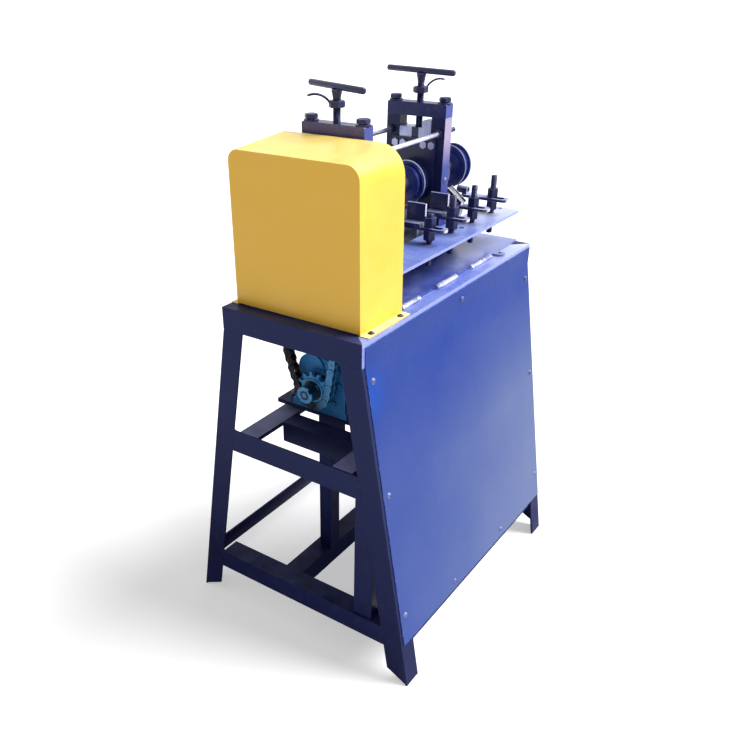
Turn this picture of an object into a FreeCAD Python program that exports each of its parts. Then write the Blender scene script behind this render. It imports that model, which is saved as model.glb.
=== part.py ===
import FreeCAD, Part
import Sketcher
import math
import os

os.makedirs("parts", exist_ok=True)
doc = FreeCAD.newDocument("CableStripper")
vector = FreeCAD.Vector

# Driving sizes in millimetres, kept in a sheet. X runs along the machine, the feed side is -Y.
stand_sizes = {
    "table_height": 650, "frame_length": 604, "frame_width": 278, "foot_width": 502,
    "angle_width": 40, "angle_wall": 4, "foot_rise": 23,
    "mid_rail_top": 416, "mid_rail_face": 44, "mid_long_reach": 121, "cross_rail_place": 76,
    "low_rail_top": 115, "low_middle_place": 16,
    "end_post_inset": 64, "end_post_width": 38,
    "motor_post_place": 137, "motor_post_width": 28, "motor_post_head": 58, "motor_post_drop": 54,
}
sheet_metal_sizes = {
    "table_thick": 4, "table_reach": 111, "table_near_gap": 28, "table_far_gap": 2,
    "table_lug_place": 200, "table_lug_width": 20, "table_lug_reach": 20, "table_lug_hole": 8,
    "table_lug_round": 9,
    "chain_slot_width": 34, "chain_slot_reach": 60, "rail_notch_depth": 14,
    "panel_thick": 1.5, "panel_top": 643, "panel_bottom": 88, "panel_near_gap": 8, "panel_far_gap": 2,
    "cover_near_gap": 24, "cover_length": 121, "cover_height": 245, "cover_far_rise": 8.5,
    "cover_front": 119.5, "cover_front_lean": 5, "cover_rear": 124.5, "cover_wall": 1.5,
    "cover_near_round": 22, "cover_far_round": 45, "cover_rear_round": 18, "cover_foot": 15.5,
    "cover_rear_foot": 13.5, "cover_front_gap": 3, "cover_screw_inset": 18,
    "screw_head_width": 11, "screw_head_height": 3.5, "screw_shank": 6, "panel_screw_inset": 15,
    "panel_screw_top": 584, "panel_screw_middle": 386, "panel_screw_low": 146,
    "low_screw_near": 201, "low_screw_far": 198, "top_screw_place": 316,
}
head_sizes = {
    "head_offset": 24, "plate_width": 118, "plate_thick": 25, "near_plate_inset": 155,
    "plate_spacing": 255, "cap_top": 919, "cap_thick": 22, "cap_round": 3, "window_width": 64,
    "window_bottom": 745, "window_round": 5, "plate_screw_rise": 32, "plate_screw_pitch": 51,
    "lower_axis": 709, "gear_module": 4, "gear_teeth": 20, "gear_width": 22, "gear_plate_gap": 15,
    "shaft_diameter": 30, "seat_diameter": 28, "seat_clearance": 1, "shaft_thread": 20, "shaft_proud": 4,
    "shaft_chamfer": 1.5, "end_nut_across": 30, "end_nut_height": 16,
    "running_gap": 0.05, "sliding_gap": 0.3,
    "bush_wall": 5, "bush_flange": 6, "bush_flange_thick": 3,
    "bolt_spacing": 98, "bolt_size": 12, "bolt_head": 19, "bolt_head_height": 7, "bolt_neck": 1,
    "bolt_depth": 15, "washer_width": 24, "washer_thick": 2,
    "tie_rod_size": 8, "tie_rod_height": 872, "tie_rod_overhang": 28, "tie_nut": 13, "tie_nut_height": 6.5,
    "block_top": 879, "block_bottom": 764, "block_shoulder": 891, "shoulder_place": 14,
    "block_bottom_round": 3, "block_top_round": 2, "keeper_width": 88, "keeper_bottom": 752,
    "keeper_top": 862, "keeper_thick": 3, "keeper_bolt": 12, "keeper_bolt_height": 4,
    "keeper_bolt_drop": 10, "keeper_bolt_inner": 21, "keeper_bolt_outer": 37,
    "screw_size": 12, "screw_tip": 1, "screw_socket": 14, "screw_hub_width": 17,
    "screw_hub_height": 14.5, "screw_hub_edge": 1, "bar_sink": 0.6, "bar_size": 9.6, "bar_end_round": 3,
    "near_bar_height": 970.2, "near_bar_length": 143, "near_bar_shift": 2, "near_bar_angle": 70,
    "far_bar_height": 968.5, "far_bar_length": 151, "far_bar_shift": 3, "far_bar_angle": 79,
    "lock_nut_width": 23, "lock_nut_thick": 10, "near_lock_height": 941, "far_lock_height": 933.5,
    "lever_wire": 3.6, "lever_apex": 35.5, "lever_rise": 15, "lever_bend": 30, "lever_inner_angle": 60,
    "lever_outer_angle": 20, "near_lever_angle": 138, "far_lever_angle": -33,
}
station_sizes = {
    "station_pitch": 81, "first_station": 154, "roller_width": 32, "lower_roller": 74, "groove_depth": 6,
    "roller_edge": 2, "upper_hub": 62, "upper_back_hub": 70, "blade_width": 76, "blade_thick": 3,
    "blade_edge": 2, "blade_groove": 48, "ring_thick": 3, "ring_groove": 56, "hub_land": 8,
    "wheel_width": 80, "wheel_core": 70, "wheel_hub": 56, "wheel_flange": 3, "wheel_gap": 18,
    "far_roller": 66, "far_roller_width": 14, "far_roller_hub": 48,
    "feed_top": 712, "feed_thick": 5, "feed_front": 110, "feed_gap": 1, "feed_overlap": 1,
    "feed_end_margin": 50,
    "feed_near_round": 3, "feed_far_round": 6, "spare_hole": 12, "spare_hole_place": 38,
    "bracket_width": 40, "bracket_drop": 30, "bracket_wall": 4,
    "stud_place": 72, "stud_size": 12, "stud_top": 784, "stud_bottom": 674,
    "nut_across": 19, "nut_height": 10,
    "clamp_nut_height": 17, "strap_height": 736, "strap_thick": 5, "strap_width": 22, "strap_front": 105,
    "strap_round": 9.9, "slot_outer": 97, "slot_inner": 59, "slot_width": 12.8, "slot_round": 5.8,
    "fence_front": 58, "fence_end": 22, "fence_height": 35, "fence_wall": 5,
    "tube_height": 748, "tube_width": 14, "tube_bore": 10, "tube_front": 20, "tube_end": 2,
    "chute_width": 20, "chute_wall": 2, "chute_length": 40, "chute_slope": 36, "chute_place": 53,
    "chute_sink": 3.5,
}
drive_sizes = {
    "motor_plate_edge": 119, "motor_plate_length": 300, "motor_plate_width": 252, "motor_plate_thick": 8,
    "motor_stud_inset": 26, "motor_stud_reach": 101, "motor_stud_up": 36, "motor_stud_down": 34,
    "drive_axis_rise": 57.6, "drive_axis_place": 22, "chain_place": 96,
    "case_width": 100, "case_length": 85, "case_foot_width": 120, "case_foot_thick": 12,
    "case_foot_shift": 3, "case_neck_width": 90,
    "case_lump_width": 56, "case_lump_side": 20, "case_lump_rise": 27, "case_lump_step": 4,
    "case_cap_width": 64, "case_cap_step": 7, "case_socket": 40,
    "output_diameter": 32, "output_overhang": 30, "key_width": 8, "key_depth": 4, "key_margin": 6,
    "key_angle": 50, "motor_width": 112, "motor_length": 190, "motor_fin": 5, "motor_fin_thick": 2.5,
    "motor_fin_root": 2, "motor_fin_count": 24, "motor_flange": 122, "motor_flange_thick": 10,
    "fan_cover_length": 42, "fan_cover_round": 10, "terminal_length": 74, "terminal_width": 62,
    "terminal_height": 34, "terminal_round": 6, "terminal_gap": 20, "lid_rim": 2, "lid_thick": 4,
    "gland_width": 18, "gland_length": 14,
    "chain_pitch": 15.875, "chain_links": 48, "drive_teeth": 12, "driven_teeth": 28,
    "roller_size": 10.16, "seat_gap": 0.3, "link_inner_width": 9.65, "link_wall": 1.5, "link_height": 14.6,
    "pin_size": 5.08, "pin_proud": 1.2, "sprocket_thick": 7.2,
    "drive_hub": 44, "drive_hub_near": 3, "drive_hub_far": 8, "driven_hub": 60, "tooth_backlash": 0.5,
}


# A size that remembers its formula, so that features are bound to the sheet
class Size:
    def __init__(self, value, formula):
        self.value = value
        self.formula = formula

    def __add__(self, other):
        other = as_size(other)
        return Size(self.value + other.value, "(%s + %s)" % (self.formula, other.formula))

    def __sub__(self, other):
        other = as_size(other)
        return Size(self.value - other.value, "(%s - %s)" % (self.formula, other.formula))

    def __mul__(self, other):
        other = as_size(other)
        return Size(self.value * other.value, "(%s * %s)" % (self.formula, other.formula))

    def __truediv__(self, other):
        other = as_size(other)
        return Size(self.value / other.value, "(%s / %s)" % (self.formula, other.formula))

    def __radd__(self, other):
        return as_size(other) + self

    def __rsub__(self, other):
        return as_size(other) - self

    def __rmul__(self, other):
        return as_size(other) * self

    def __neg__(self):
        return as_size(0) - self


def as_size(number):
    if isinstance(number, Size):
        return number
    return Size(float(number), "(%.6f)" % number)


def root(size):
    return Size(math.sqrt(size.value), "sqrt(%s)" % size.formula)


# The sheet, read as size.name
class SizeSheet:
    def __init__(self, groups):
        self.sheet = doc.addObject("Spreadsheet::Sheet", "Sizes")
        row = 1
        for group in groups:
            for name, number in group.items():
                self.sheet.set("A%d" % row, name)
                self.sheet.set("B%d" % row, str(number))
                self.sheet.setAlias("B%d" % row, name)
                row += 1
        doc.recompute()

    def __getattr__(self, name):
        return Size(float(self.sheet.get(name)), "Sizes." + name)


size = SizeSheet([stand_sizes, sheet_metal_sizes, head_sizes, station_sizes, drive_sizes])
nodes = []


# Bodies, sketches and features
def new_body(label):
    body = doc.addObject("PartDesign::Body", label)
    body.Label = label
    return body


def keep(thing, label):
    thing.Label = label
    nodes.append(thing)
    return thing


def place(thing, spot, axis=None, angle=0):
    if axis is not None:
        thing.Placement = FreeCAD.Placement(vector(0, 0, 0), FreeCAD.Rotation(axis, angle))
    for letter, number in zip("xyz", spot):
        thing.setExpression("Placement.Base." + letter, as_size(number).formula)


def start_sketch(body, plane, lift=None):
    sketch = body.newObject("Sketcher::SketchObject", body.Name + "_sketch")
    support = [feature for feature in body.Origin.OriginFeatures if feature.Role == plane + "_Plane"][0]
    sketch.AttachmentSupport = [(support, "")]
    sketch.MapMode = "FlatFace"
    if lift is not None:
        sketch.setExpression("AttachmentOffset.Base.z", as_size(lift).formula)
    return sketch


def towards(start, end):
    across = end[0].value - start[0].value
    up = end[1].value - start[1].value
    length = math.hypot(across, up)
    return round(across / length), round(up / length)


# A closed outline; a corner with a third value is rounded, between edges along the axes
def outline(sketch, corners):
    corners = [tuple(as_size(number) for number in corner) for corner in corners]
    path = []
    for index, corner in enumerate(corners):
        if len(corner) == 2:
            path.append((corner[0], corner[1], None, None))
            continue
        radius = corner[2]
        back = towards(corner, corners[index - 1])
        ahead = towards(corner, corners[(index + 1) % len(corners)])
        centre = vector((corner[0] + radius * (back[0] + ahead[0])).value,
                        (corner[1] + radius * (back[1] + ahead[1])).value, 0)
        path.append((corner[0] + radius * back[0], corner[1] + radius * back[1], radius, centre))
        path.append((corner[0] + radius * ahead[0], corner[1] + radius * ahead[1], None, None))
    first = sketch.GeometryCount
    ends = []
    for index, (across, up, radius, centre) in enumerate(path):
        start = vector(across.value, up.value, 0)
        following = path[(index + 1) % len(path)]
        end = vector(following[0].value, following[1].value, 0)
        if radius is None:
            sketch.addGeometry(Part.LineSegment(start, end), False)
            ends.append((1, 2))
            continue
        turn = (start - centre).cross(end - centre).z
        circle = Part.Circle(centre, vector(0, 0, 1), radius.value)
        angles = [math.atan2(spot.y - centre.y, spot.x - centre.x) for spot in (start, end)]
        if turn > 0:
            sketch.addGeometry(Part.ArcOfCircle(circle, angles[0], angles[1]), False)
            ends.append((1, 2))
        else:
            sketch.addGeometry(Part.ArcOfCircle(circle, angles[1], angles[0]), False)
            ends.append((2, 1))
    constraints = []
    bound = []
    for index, (across, up, radius, centre) in enumerate(path):
        line = first + index
        following = first + (index + 1) % len(path)
        constraints.append(Sketcher.Constraint("Coincident", line, ends[index][1],
                                               following, ends[following - first][0]))
        bound.append(None)
        constraints.append(Sketcher.Constraint("DistanceX", -1, 1, line, ends[index][0], across.value))
        bound.append(across)
        constraints.append(Sketcher.Constraint("DistanceY", -1, 1, line, ends[index][0], up.value))
        bound.append(up)
        if radius is not None:
            constraints.append(Sketcher.Constraint("Radius", line, radius.value))
            bound.append(radius)
    bind(sketch, constraints, bound)


def bind(sketch, constraints, bound):
    numbers = sketch.addConstraint(constraints)
    for number, limit in zip(numbers, bound):
        if limit is not None:
            sketch.setExpression("Constraints[%d]" % number, limit.formula)


def circle(sketch, across, up, diameter):
    across, up, diameter = as_size(across), as_size(up), as_size(diameter)
    centre = vector(across.value, up.value, 0)
    ring = sketch.addGeometry(Part.Circle(centre, vector(0, 0, 1), diameter.value / 2), False)
    constraints = [Sketcher.Constraint("DistanceX", -1, 1, ring, 3, across.value),
                   Sketcher.Constraint("DistanceY", -1, 1, ring, 3, up.value),
                   Sketcher.Constraint("Diameter", ring, diameter.value)]
    bind(sketch, constraints, [across, up, diameter])


def rectangle(left, right, bottom, top):
    return [(left, bottom), (right, bottom), (right, top), (left, top)]


def hexagon(across, across_place=0, up_place=0):
    side = across / math.sqrt(3)
    left = across_place - across / 2
    right = across_place + across / 2
    low = up_place - side / 2
    high = up_place + side / 2
    return [(right, low), (right, high), (as_size(across_place), up_place + side), (left, high), (left, low),
            (as_size(across_place), up_place - side)]


def pad(body, sketch, length, back=False):
    feature = body.newObject("PartDesign::Pad", body.Name + "_pad")
    feature.Profile = sketch
    feature.setExpression("Length", as_size(length).formula)
    feature.Reversed = back
    return feature


# A cut must take material away, which is checked when the model is complete
cuts = []


def pocket(body, sketch, depth, back=False):
    before = body.Tip
    feature = body.newObject("PartDesign::Pocket", body.Name + "_pocket")
    feature.Profile = sketch
    feature.setExpression("Length", as_size(depth).formula)
    feature.Reversed = back
    cuts.append((before, feature))
    return feature


def revolve(body, sketch, axis="H_Axis"):
    feature = body.newObject("PartDesign::Revolution", body.Name + "_turned")
    feature.Profile = sketch
    feature.ReferenceAxis = (sketch, [axis])
    feature.Angle = 360
    return feature


# A turned piece about X: pairs of place along the axis and diameter, with an optional bore
def turned(label, steps, bore=None, chamfer=0):
    body = new_body(label)
    sketch = start_sketch(body, "XZ")
    inner = as_size(0) if bore is None else as_size(bore) / 2
    start = as_size(steps[0][0])
    end = as_size(steps[-1][1])
    corners = [(start, inner)]
    for index, (left, right, diameter) in enumerate(steps):
        radius = as_size(diameter) / 2
        if index == 0 and chamfer:
            corners += [(as_size(left), radius - chamfer), (as_size(left) + chamfer, radius)]
        else:
            corners.append((as_size(left), radius))
        if index == len(steps) - 1 and chamfer:
            corners += [(as_size(right) - chamfer, radius), (as_size(right), radius - chamfer)]
        else:
            corners.append((as_size(right), radius))
    corners.append((end, inner))
    outline(sketch, corners)
    revolve(body, sketch)
    return body


def group(label, members):
    compound = doc.addObject("Part::Compound", label)
    compound.Links = members
    return keep(compound, label)


def link(master, spot, axis=None, angle=0):
    copy = doc.addObject("App::Link", master.Name + "_copy")
    copy.LinkedObject = master
    place(copy, spot, axis, angle)
    return copy


def round_bar(name, diameter, length, spot, axis=None, angle=0):
    bar = doc.addObject("Part::Cylinder", name)
    bar.setExpression("Radius", (as_size(diameter) / 2).formula)
    bar.setExpression("Height", as_size(length).formula)
    place(bar, spot, axis, angle)
    return bar


along_x = vector(0, 1, 0)
tilt_x = vector(1, 0, 0)

# Places that several pieces share
near_end = -size.frame_length / 2
far_end = size.frame_length / 2
shoulder = size.table_height - size.angle_width
splay_slope = (size.foot_width - size.frame_width) / 2 / shoulder
lean = root(splay_slope * splay_slope + 1)
near_plate = near_end + size.near_plate_inset
far_plate = near_plate + size.plate_spacing
table_top = size.table_height + size.table_thick
shaft_distance = size.gear_module * size.gear_teeth
upper_axis = size.lower_axis + shaft_distance
chain_plane = near_end + size.chain_place
gear_start = near_plate - size.gear_plate_gap - size.gear_width
motor_plate_bottom = size.mid_rail_top + size.nut_height
motor_plate_top = motor_plate_bottom + size.motor_plate_thick
drive_axis = motor_plate_top + size.drive_axis_rise


def splay(height):
    return size.frame_width / 2 + (shoulder - height) * splay_slope


def inner_edge(height):
    return splay(height) - size.angle_width * lean


# Stand: four splayed legs of angle iron
def leg(label, end, side):
    body = new_body(label)
    flange = start_sketch(body, "YZ")
    outline(flange, [(side * splay(shoulder), shoulder), (side * splay(as_size(0)), 0),
                     (side * inner_edge(size.foot_rise), size.foot_rise),
                     (side * inner_edge(shoulder), shoulder)])
    pad(body, flange, size.angle_wall, back=end > 0)
    web = start_sketch(body, "YZ")
    thick = size.angle_wall * lean
    outline(web, [(side * splay(shoulder), shoulder), (side * splay(as_size(0)), 0),
                  (side * (splay(as_size(0)) - thick), 0), (side * (splay(shoulder) - thick), shoulder)])
    pad(body, web, size.angle_width, back=end > 0)
    place(body, (end * far_end, 0, 0))
    keep(body, label)


# Stand: top ring of mitred angle iron, with a notch where the chain passes
def mitred_strip(along, sign, depth):
    length = size.frame_length / 2
    width = size.frame_width / 2
    if along == "x":
        return [(-length, sign * width), (length, sign * width),
                (length - depth, sign * (width - depth)), (depth - length, sign * (width - depth))]
    return [(sign * length, -width), (sign * length, width),
            (sign * (length - depth), width - depth), (sign * (length - depth), depth - width)]


def top_rail(label, along, sign, notch=False):
    body = new_body(label)
    web = start_sketch(body, "XY")
    outline(web, mitred_strip(along, sign, size.angle_wall))
    pad(body, web, size.angle_width, back=True)
    flange = start_sketch(body, "XY")
    corners = mitred_strip(along, sign, size.angle_width)
    if notch:
        inner = size.frame_width / 2 - size.angle_width
        left = chain_plane - size.chain_slot_width / 2
        right = chain_plane + size.chain_slot_width / 2
        corners = corners[:3] + [(right, inner), (right, inner + size.rail_notch_depth),
                                 (left, inner + size.rail_notch_depth), (left, inner)] + corners[3:]
    outline(flange, corners)
    pad(body, flange, size.angle_wall, back=True)
    place(body, (0, 0, size.table_height))
    keep(body, label)


# Stand: rails between the legs of one end frame
def end_rail(name, end, top, face, flange_bottom):
    body = new_body(name)
    web = start_sketch(body, "YZ")
    bottom = top - face
    outline(web, [(-inner_edge(bottom), bottom), (inner_edge(bottom), bottom),
                  (inner_edge(top), top), (-inner_edge(top), top)])
    pad(body, web, size.angle_wall, back=end > 0)
    low = bottom if flange_bottom else top - size.angle_wall
    high = low + size.angle_wall
    flange = start_sketch(body, "YZ")
    outline(flange, rectangle(-inner_edge(high), inner_edge(high), low, high))
    pad(body, flange, size.angle_width, back=end > 0)
    place(body, (end * far_end, 0, 0))
    return body


# Stand: long rails and posts
def mid_long_rail(name, side):
    body = new_body(name)
    section = start_sketch(body, "YZ")
    outer = size.mid_long_reach
    bottom = size.mid_rail_top - size.angle_width
    outline(section, [(side * outer, bottom), (side * outer, size.mid_rail_top),
                      (side * (outer - size.angle_width), size.mid_rail_top),
                      (side * (outer - size.angle_width), size.mid_rail_top - size.angle_wall),
                      (side * (outer - size.angle_wall), size.mid_rail_top - size.angle_wall),
                      (side * (outer - size.angle_wall), bottom)])
    pad(body, section, size.frame_length - 2 * size.angle_wall)
    start = near_end + size.angle_wall
    holes = start_sketch(body, "XY", size.mid_rail_top)
    for across, up in motor_stud_places():
        if up.value * side > 0:
            circle(holes, across - start, up, size.stud_size)
    pocket(body, holes, size.angle_wall)
    place(body, (start, 0, 0))
    return body


def cross_rail():
    body = new_body("cross_rail")
    section = start_sketch(body, "XZ")
    wall = size.angle_wall
    width = size.angle_width
    outline(section, [(0, -width), (wall, -width), (wall, -wall), (width, -wall), (width, 0), (0, 0)])
    reach = size.mid_long_reach - size.angle_width
    pad(body, section, 2 * reach)
    place(body, (near_end + size.cross_rail_place, reach, size.mid_rail_top))
    keep(body, "cross_rail")


def low_side_bar(name, side):
    body = new_body(name)
    section = start_sketch(body, "YZ")
    top = size.low_rail_top
    bottom = top - size.angle_width
    thick = size.angle_wall * lean
    outline(section, [(side * (splay(bottom) - thick), bottom), (side * (splay(bottom) - 2 * thick), bottom),
                      (side * (splay(top) - 2 * thick), top), (side * (splay(top) - thick), top)])
    pad(body, section, size.frame_length - 2 * size.angle_wall)
    place(body, (near_end + size.angle_wall, 0, 0))
    return body


def low_middle_rail():
    body = new_body("low_middle_rail")
    section = start_sketch(body, "YZ")
    left = size.low_middle_place
    top = size.low_rail_top
    wall = size.angle_wall
    outline(section, [(left, top - size.angle_width), (left + wall, top - size.angle_width),
                      (left + wall, top - wall), (left + size.angle_width, top - wall),
                      (left + size.angle_width, top), (left, top)])
    pad(body, section, size.frame_length - 2 * size.angle_width)
    place(body, (near_end + size.angle_width, 0, 0))
    keep(body, "low_middle_rail")


def angle_section(width, wall):
    return [(0, 0), (width, 0), (width, wall), (wall, wall), (wall, width), (0, width)]


def motor_post():
    body = new_body("motor_post")
    section = start_sketch(body, "XY")
    outline(section, angle_section(size.motor_post_width, size.angle_wall))
    pad(body, section, motor_plate_bottom - size.low_rail_top)
    head = start_sketch(body, "YZ")
    right = size.motor_post_width
    top = motor_plate_bottom - size.low_rail_top
    outline(head, rectangle(right - size.motor_post_head, right, top - size.motor_post_drop, top))
    pad(body, head, size.angle_wall)
    place(body, (near_end + size.motor_post_place, size.low_middle_place, size.low_rail_top))
    keep(body, "motor_post")


def end_post():
    body = new_body("end_post")
    section = start_sketch(body, "XY")
    outline(section, angle_section(size.end_post_width, size.angle_wall))
    bottom = size.low_rail_top
    pad(body, section, size.mid_rail_top - size.mid_rail_face - bottom)
    place(body, (near_end + size.angle_wall, size.end_post_inset - splay(bottom), bottom))
    keep(body, "end_post")


# Table sheet, with the chain slot open to the rear and a round-ended lug in front
def table_sheet():
    body = new_body("table_sheet")
    sketch = start_sketch(body, "XY")
    left = near_end + size.table_near_gap
    right = far_end - size.table_far_gap
    reach = size.table_reach
    lug = size.table_lug_place
    half = size.table_lug_width / 2
    end = -reach - size.table_lug_reach
    slot_left = chain_plane - size.chain_slot_width / 2
    slot_right = chain_plane + size.chain_slot_width / 2
    turn = size.table_lug_round
    outline(sketch, [(left, -reach), (lug - half, -reach), (lug - half, end, turn),
                     (lug + half, end, turn), (lug + half, -reach), (right, -reach), (right, reach),
                     (slot_right, reach), (slot_right, -size.chain_slot_reach),
                     (slot_left, -size.chain_slot_reach), (slot_left, reach), (left, reach)])
    circle(sketch, lug, end + half, size.table_lug_hole)
    pad(body, sketch, size.table_thick)
    place(body, (0, 0, size.table_height))
    keep(body, "table_sheet")


# Front panel: one sheet, bent where the legs begin to splay
def front_panel():
    body = new_body("front_panel")
    section = start_sketch(body, "YZ")
    top = size.panel_top
    low = size.panel_bottom
    flat = size.panel_thick
    run = size.panel_thick * lean
    outline(section, [(-splay(shoulder), top), (-splay(shoulder), shoulder), (-splay(low), low),
                      (-splay(low) - run, low), (-splay(shoulder) - flat, shoulder),
                      (-splay(shoulder) - flat, top)])
    pad(body, section, size.frame_length - size.panel_near_gap - size.panel_far_gap)
    place(body, (near_end + size.panel_near_gap, 0, 0))
    keep(body, "front_panel")


# Gear cover: a bent hood, open towards the near bearing plate. Its front bend is a cone, tight at
# the flat near face and wide at the open end, its top rises that way, and its front wall leans in.
cover_start = near_end + size.cover_near_gap


def cover_screw_places():
    rows = (-size.cover_front - size.cover_foot / 2, size.cover_rear + size.cover_rear_foot / 2)
    places = []
    for row in rows:
        places.append((cover_start + size.cover_screw_inset, row))
        places.append((cover_start + size.cover_length - size.cover_screw_inset, row))
    return places


def cover_round(along):
    return size.cover_near_round + (size.cover_far_round - size.cover_near_round) * along / size.cover_length


def cover_section(body, along, wall):
    sketch = start_sketch(body, "YZ", along)
    top = size.cover_height + size.cover_far_rise * along / size.cover_length - wall
    front = wall - size.cover_front
    rear = size.cover_rear - wall
    outline(sketch, [(front, 0), (front + size.cover_front_lean, top, cover_round(along) - wall),
                     (rear, top, size.cover_rear_round - wall), (rear, 0)])
    return sketch


def loft(body, kind, first, last):
    feature = body.newObject("PartDesign::" + kind, body.Name + "_loft")
    feature.Profile = first
    feature.Sections = [last]
    feature.Ruled = True
    return feature


def gear_cover():
    body = new_body("gear_cover")
    wall = size.cover_wall
    end = size.cover_length
    nothing = as_size(0)
    loft(body, "AdditiveLoft", cover_section(body, nothing, nothing), cover_section(body, end, nothing))
    before = body.Tip
    hollow = loft(body, "SubtractiveLoft", cover_section(body, wall, wall), cover_section(body, end, wall))
    cuts.append((before, hollow))
    feet = start_sketch(body, "YZ")
    outline(feet, rectangle(-size.cover_front - size.cover_foot, wall - size.cover_front, as_size(0), wall))
    outline(feet, rectangle(size.cover_rear - wall, size.cover_rear + size.cover_rear_foot, as_size(0), wall))
    pad(body, feet, end)
    gap = start_sketch(body, "YZ")
    outline(gap, rectangle(wall - size.cover_front, size.cover_rear - wall, as_size(0), size.cover_front_gap))
    pocket(body, gap, wall, back=True)
    holes = start_sketch(body, "XY", wall)
    for across, up in cover_screw_places():
        circle(holes, across - cover_start, up, size.screw_shank)
    pocket(body, holes, 2 * wall)
    place(body, (cover_start, 0, size.table_height))
    keep(body, "gear_cover")


# Round-head screws of the panel, the cover and the edges of the bearing plates
def round_screw():
    body = new_body("round_screw")
    sketch = start_sketch(body, "XZ")
    head = size.screw_head_width / 2
    rise = size.screw_head_height
    outline(sketch, [(0, 0), (head, 0), (head, rise * 0.3), (head * 0.8, rise * 0.75), (head * 0.45, rise),
                     (0, rise)])
    revolve(body, sketch, "V_Axis")
    return body


def panel_screw_places():
    near = near_end + size.panel_near_gap + size.panel_screw_inset
    far = far_end - size.panel_far_gap - size.panel_screw_inset
    places = []
    for across in (near, far):
        for height in (size.panel_screw_top, size.panel_screw_middle, size.panel_screw_low):
            places.append((across, height))
    low = size.low_rail_top - size.angle_width / 4
    places.append((near_end + size.low_screw_near, low))
    places.append((far_end - size.low_screw_far, low))
    return places


def sheet_screws():
    master = round_screw()
    tilt = math.degrees(math.atan(splay_slope.value))
    screws = []
    for across, height in panel_screw_places():
        spot = (across, -splay(height) - size.panel_thick * lean, height)
        screws.append(link(master, spot, tilt_x, 90 - tilt))
    front = -splay(shoulder) - size.panel_thick
    middle_top = (near_end + size.top_screw_place, front, shoulder + size.angle_width / 3)
    screws.append(link(master, middle_top, tilt_x, 90))
    for across, up in cover_screw_places():
        screws.append(link(master, (across, up, size.table_height + size.cover_wall)))
    low = size.lower_axis + size.plate_screw_rise
    for plate in (near_plate, far_plate):
        for height in (low, low + size.plate_screw_pitch):
            spot = (plate + size.plate_thick / 2, size.head_offset - size.plate_width / 2, height)
            screws.append(link(master, spot, tilt_x, 90))
    group("sheet_screws", screws)


# Bearing frames: two upright plates with a window, each closed by a bolted cap
def bearing_plate(label, start):
    body = new_body(label)
    profile = start_sketch(body, "YZ")
    half = size.plate_width / 2
    window = size.window_width / 2
    top = size.cap_top - size.cap_thick
    bottom = size.window_bottom
    outline(profile, [(-half, table_top), (half, table_top), (half, top), (window, top),
                      (window, bottom, size.window_round), (-window, bottom, size.window_round),
                      (-window, top), (-half, top)])
    circle(profile, 0, size.lower_axis, size.shaft_diameter + 2 * size.bush_wall)
    pad(body, profile, size.plate_thick)
    rods = start_sketch(body, "YZ", size.plate_thick)
    bolts = start_sketch(body, "XY", top)
    for side in (-1, 1):
        circle(rods, side * size.bolt_spacing / 2, size.tie_rod_height, size.tie_rod_size)
        circle(bolts, size.plate_thick / 2, side * size.bolt_spacing / 2, size.bolt_size)
    pocket(body, rods, size.plate_thick)
    pocket(body, bolts, size.bolt_depth)
    place(body, (start, size.head_offset, 0))
    keep(body, label)


def bearing_cap(name, start):
    body = new_body(name)
    profile = start_sketch(body, "YZ")
    half = size.plate_width / 2
    outline(profile, [(-half, 0), (half, 0), (half, size.cap_thick, size.cap_round),
                      (-half, size.cap_thick, size.cap_round)])
    pad(body, profile, size.plate_thick)
    holes = start_sketch(body, "XY", size.cap_thick)
    middle = size.plate_thick / 2
    circle(holes, middle, 0, size.screw_size + 2 * size.running_gap)
    for side in (-1, 1):
        circle(holes, middle, side * size.bolt_spacing / 2, size.bolt_size)
    pocket(body, holes, size.cap_thick)
    place(body, (start, size.head_offset, size.cap_top - size.cap_thick))
    return body


def cap_bolts():
    body = new_body("cap_bolt")
    levels = [(0, size.washer_thick, size.washer_width),
              (0, size.washer_thick + size.bolt_neck, size.bolt_size),
              (-size.cap_thick - size.bolt_depth, size.cap_thick + size.bolt_depth, size.bolt_size)]
    for lift, length, diameter in levels:
        sketch = start_sketch(body, "XY", lift)
        circle(sketch, 0, 0, diameter)
        pad(body, sketch, length)
    head = start_sketch(body, "XY", size.washer_thick + size.bolt_neck)
    outline(head, hexagon(size.bolt_head))
    pad(body, head, size.bolt_head_height)
    bolts = []
    for plate in (near_plate, far_plate):
        for across in tie_rod_places():
            bolts.append(link(body, (plate + size.plate_thick / 2, across, size.cap_top)))
    group("cap_bolts", bolts)


def hex_nut(name, across, height, bore):
    body = new_body(name)
    sketch = start_sketch(body, "XY")
    outline(sketch, hexagon(across))
    circle(sketch, 0, 0, bore)
    pad(body, sketch, height)
    return body


# The places of the four cable stations and of the motor plate's studs
def station(number):
    return near_plate + size.first_station + number * size.station_pitch


def motor_stud_places():
    left = near_end + size.motor_plate_edge + size.motor_stud_inset
    right = near_end + size.motor_plate_edge + size.motor_plate_length - size.motor_stud_inset
    return [(place_x, side * size.motor_stud_reach) for place_x in (left, right) for side in (-1, 1)]


def tie_rod_places():
    return [size.head_offset - size.bolt_spacing / 2, size.head_offset + size.bolt_spacing / 2]


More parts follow.
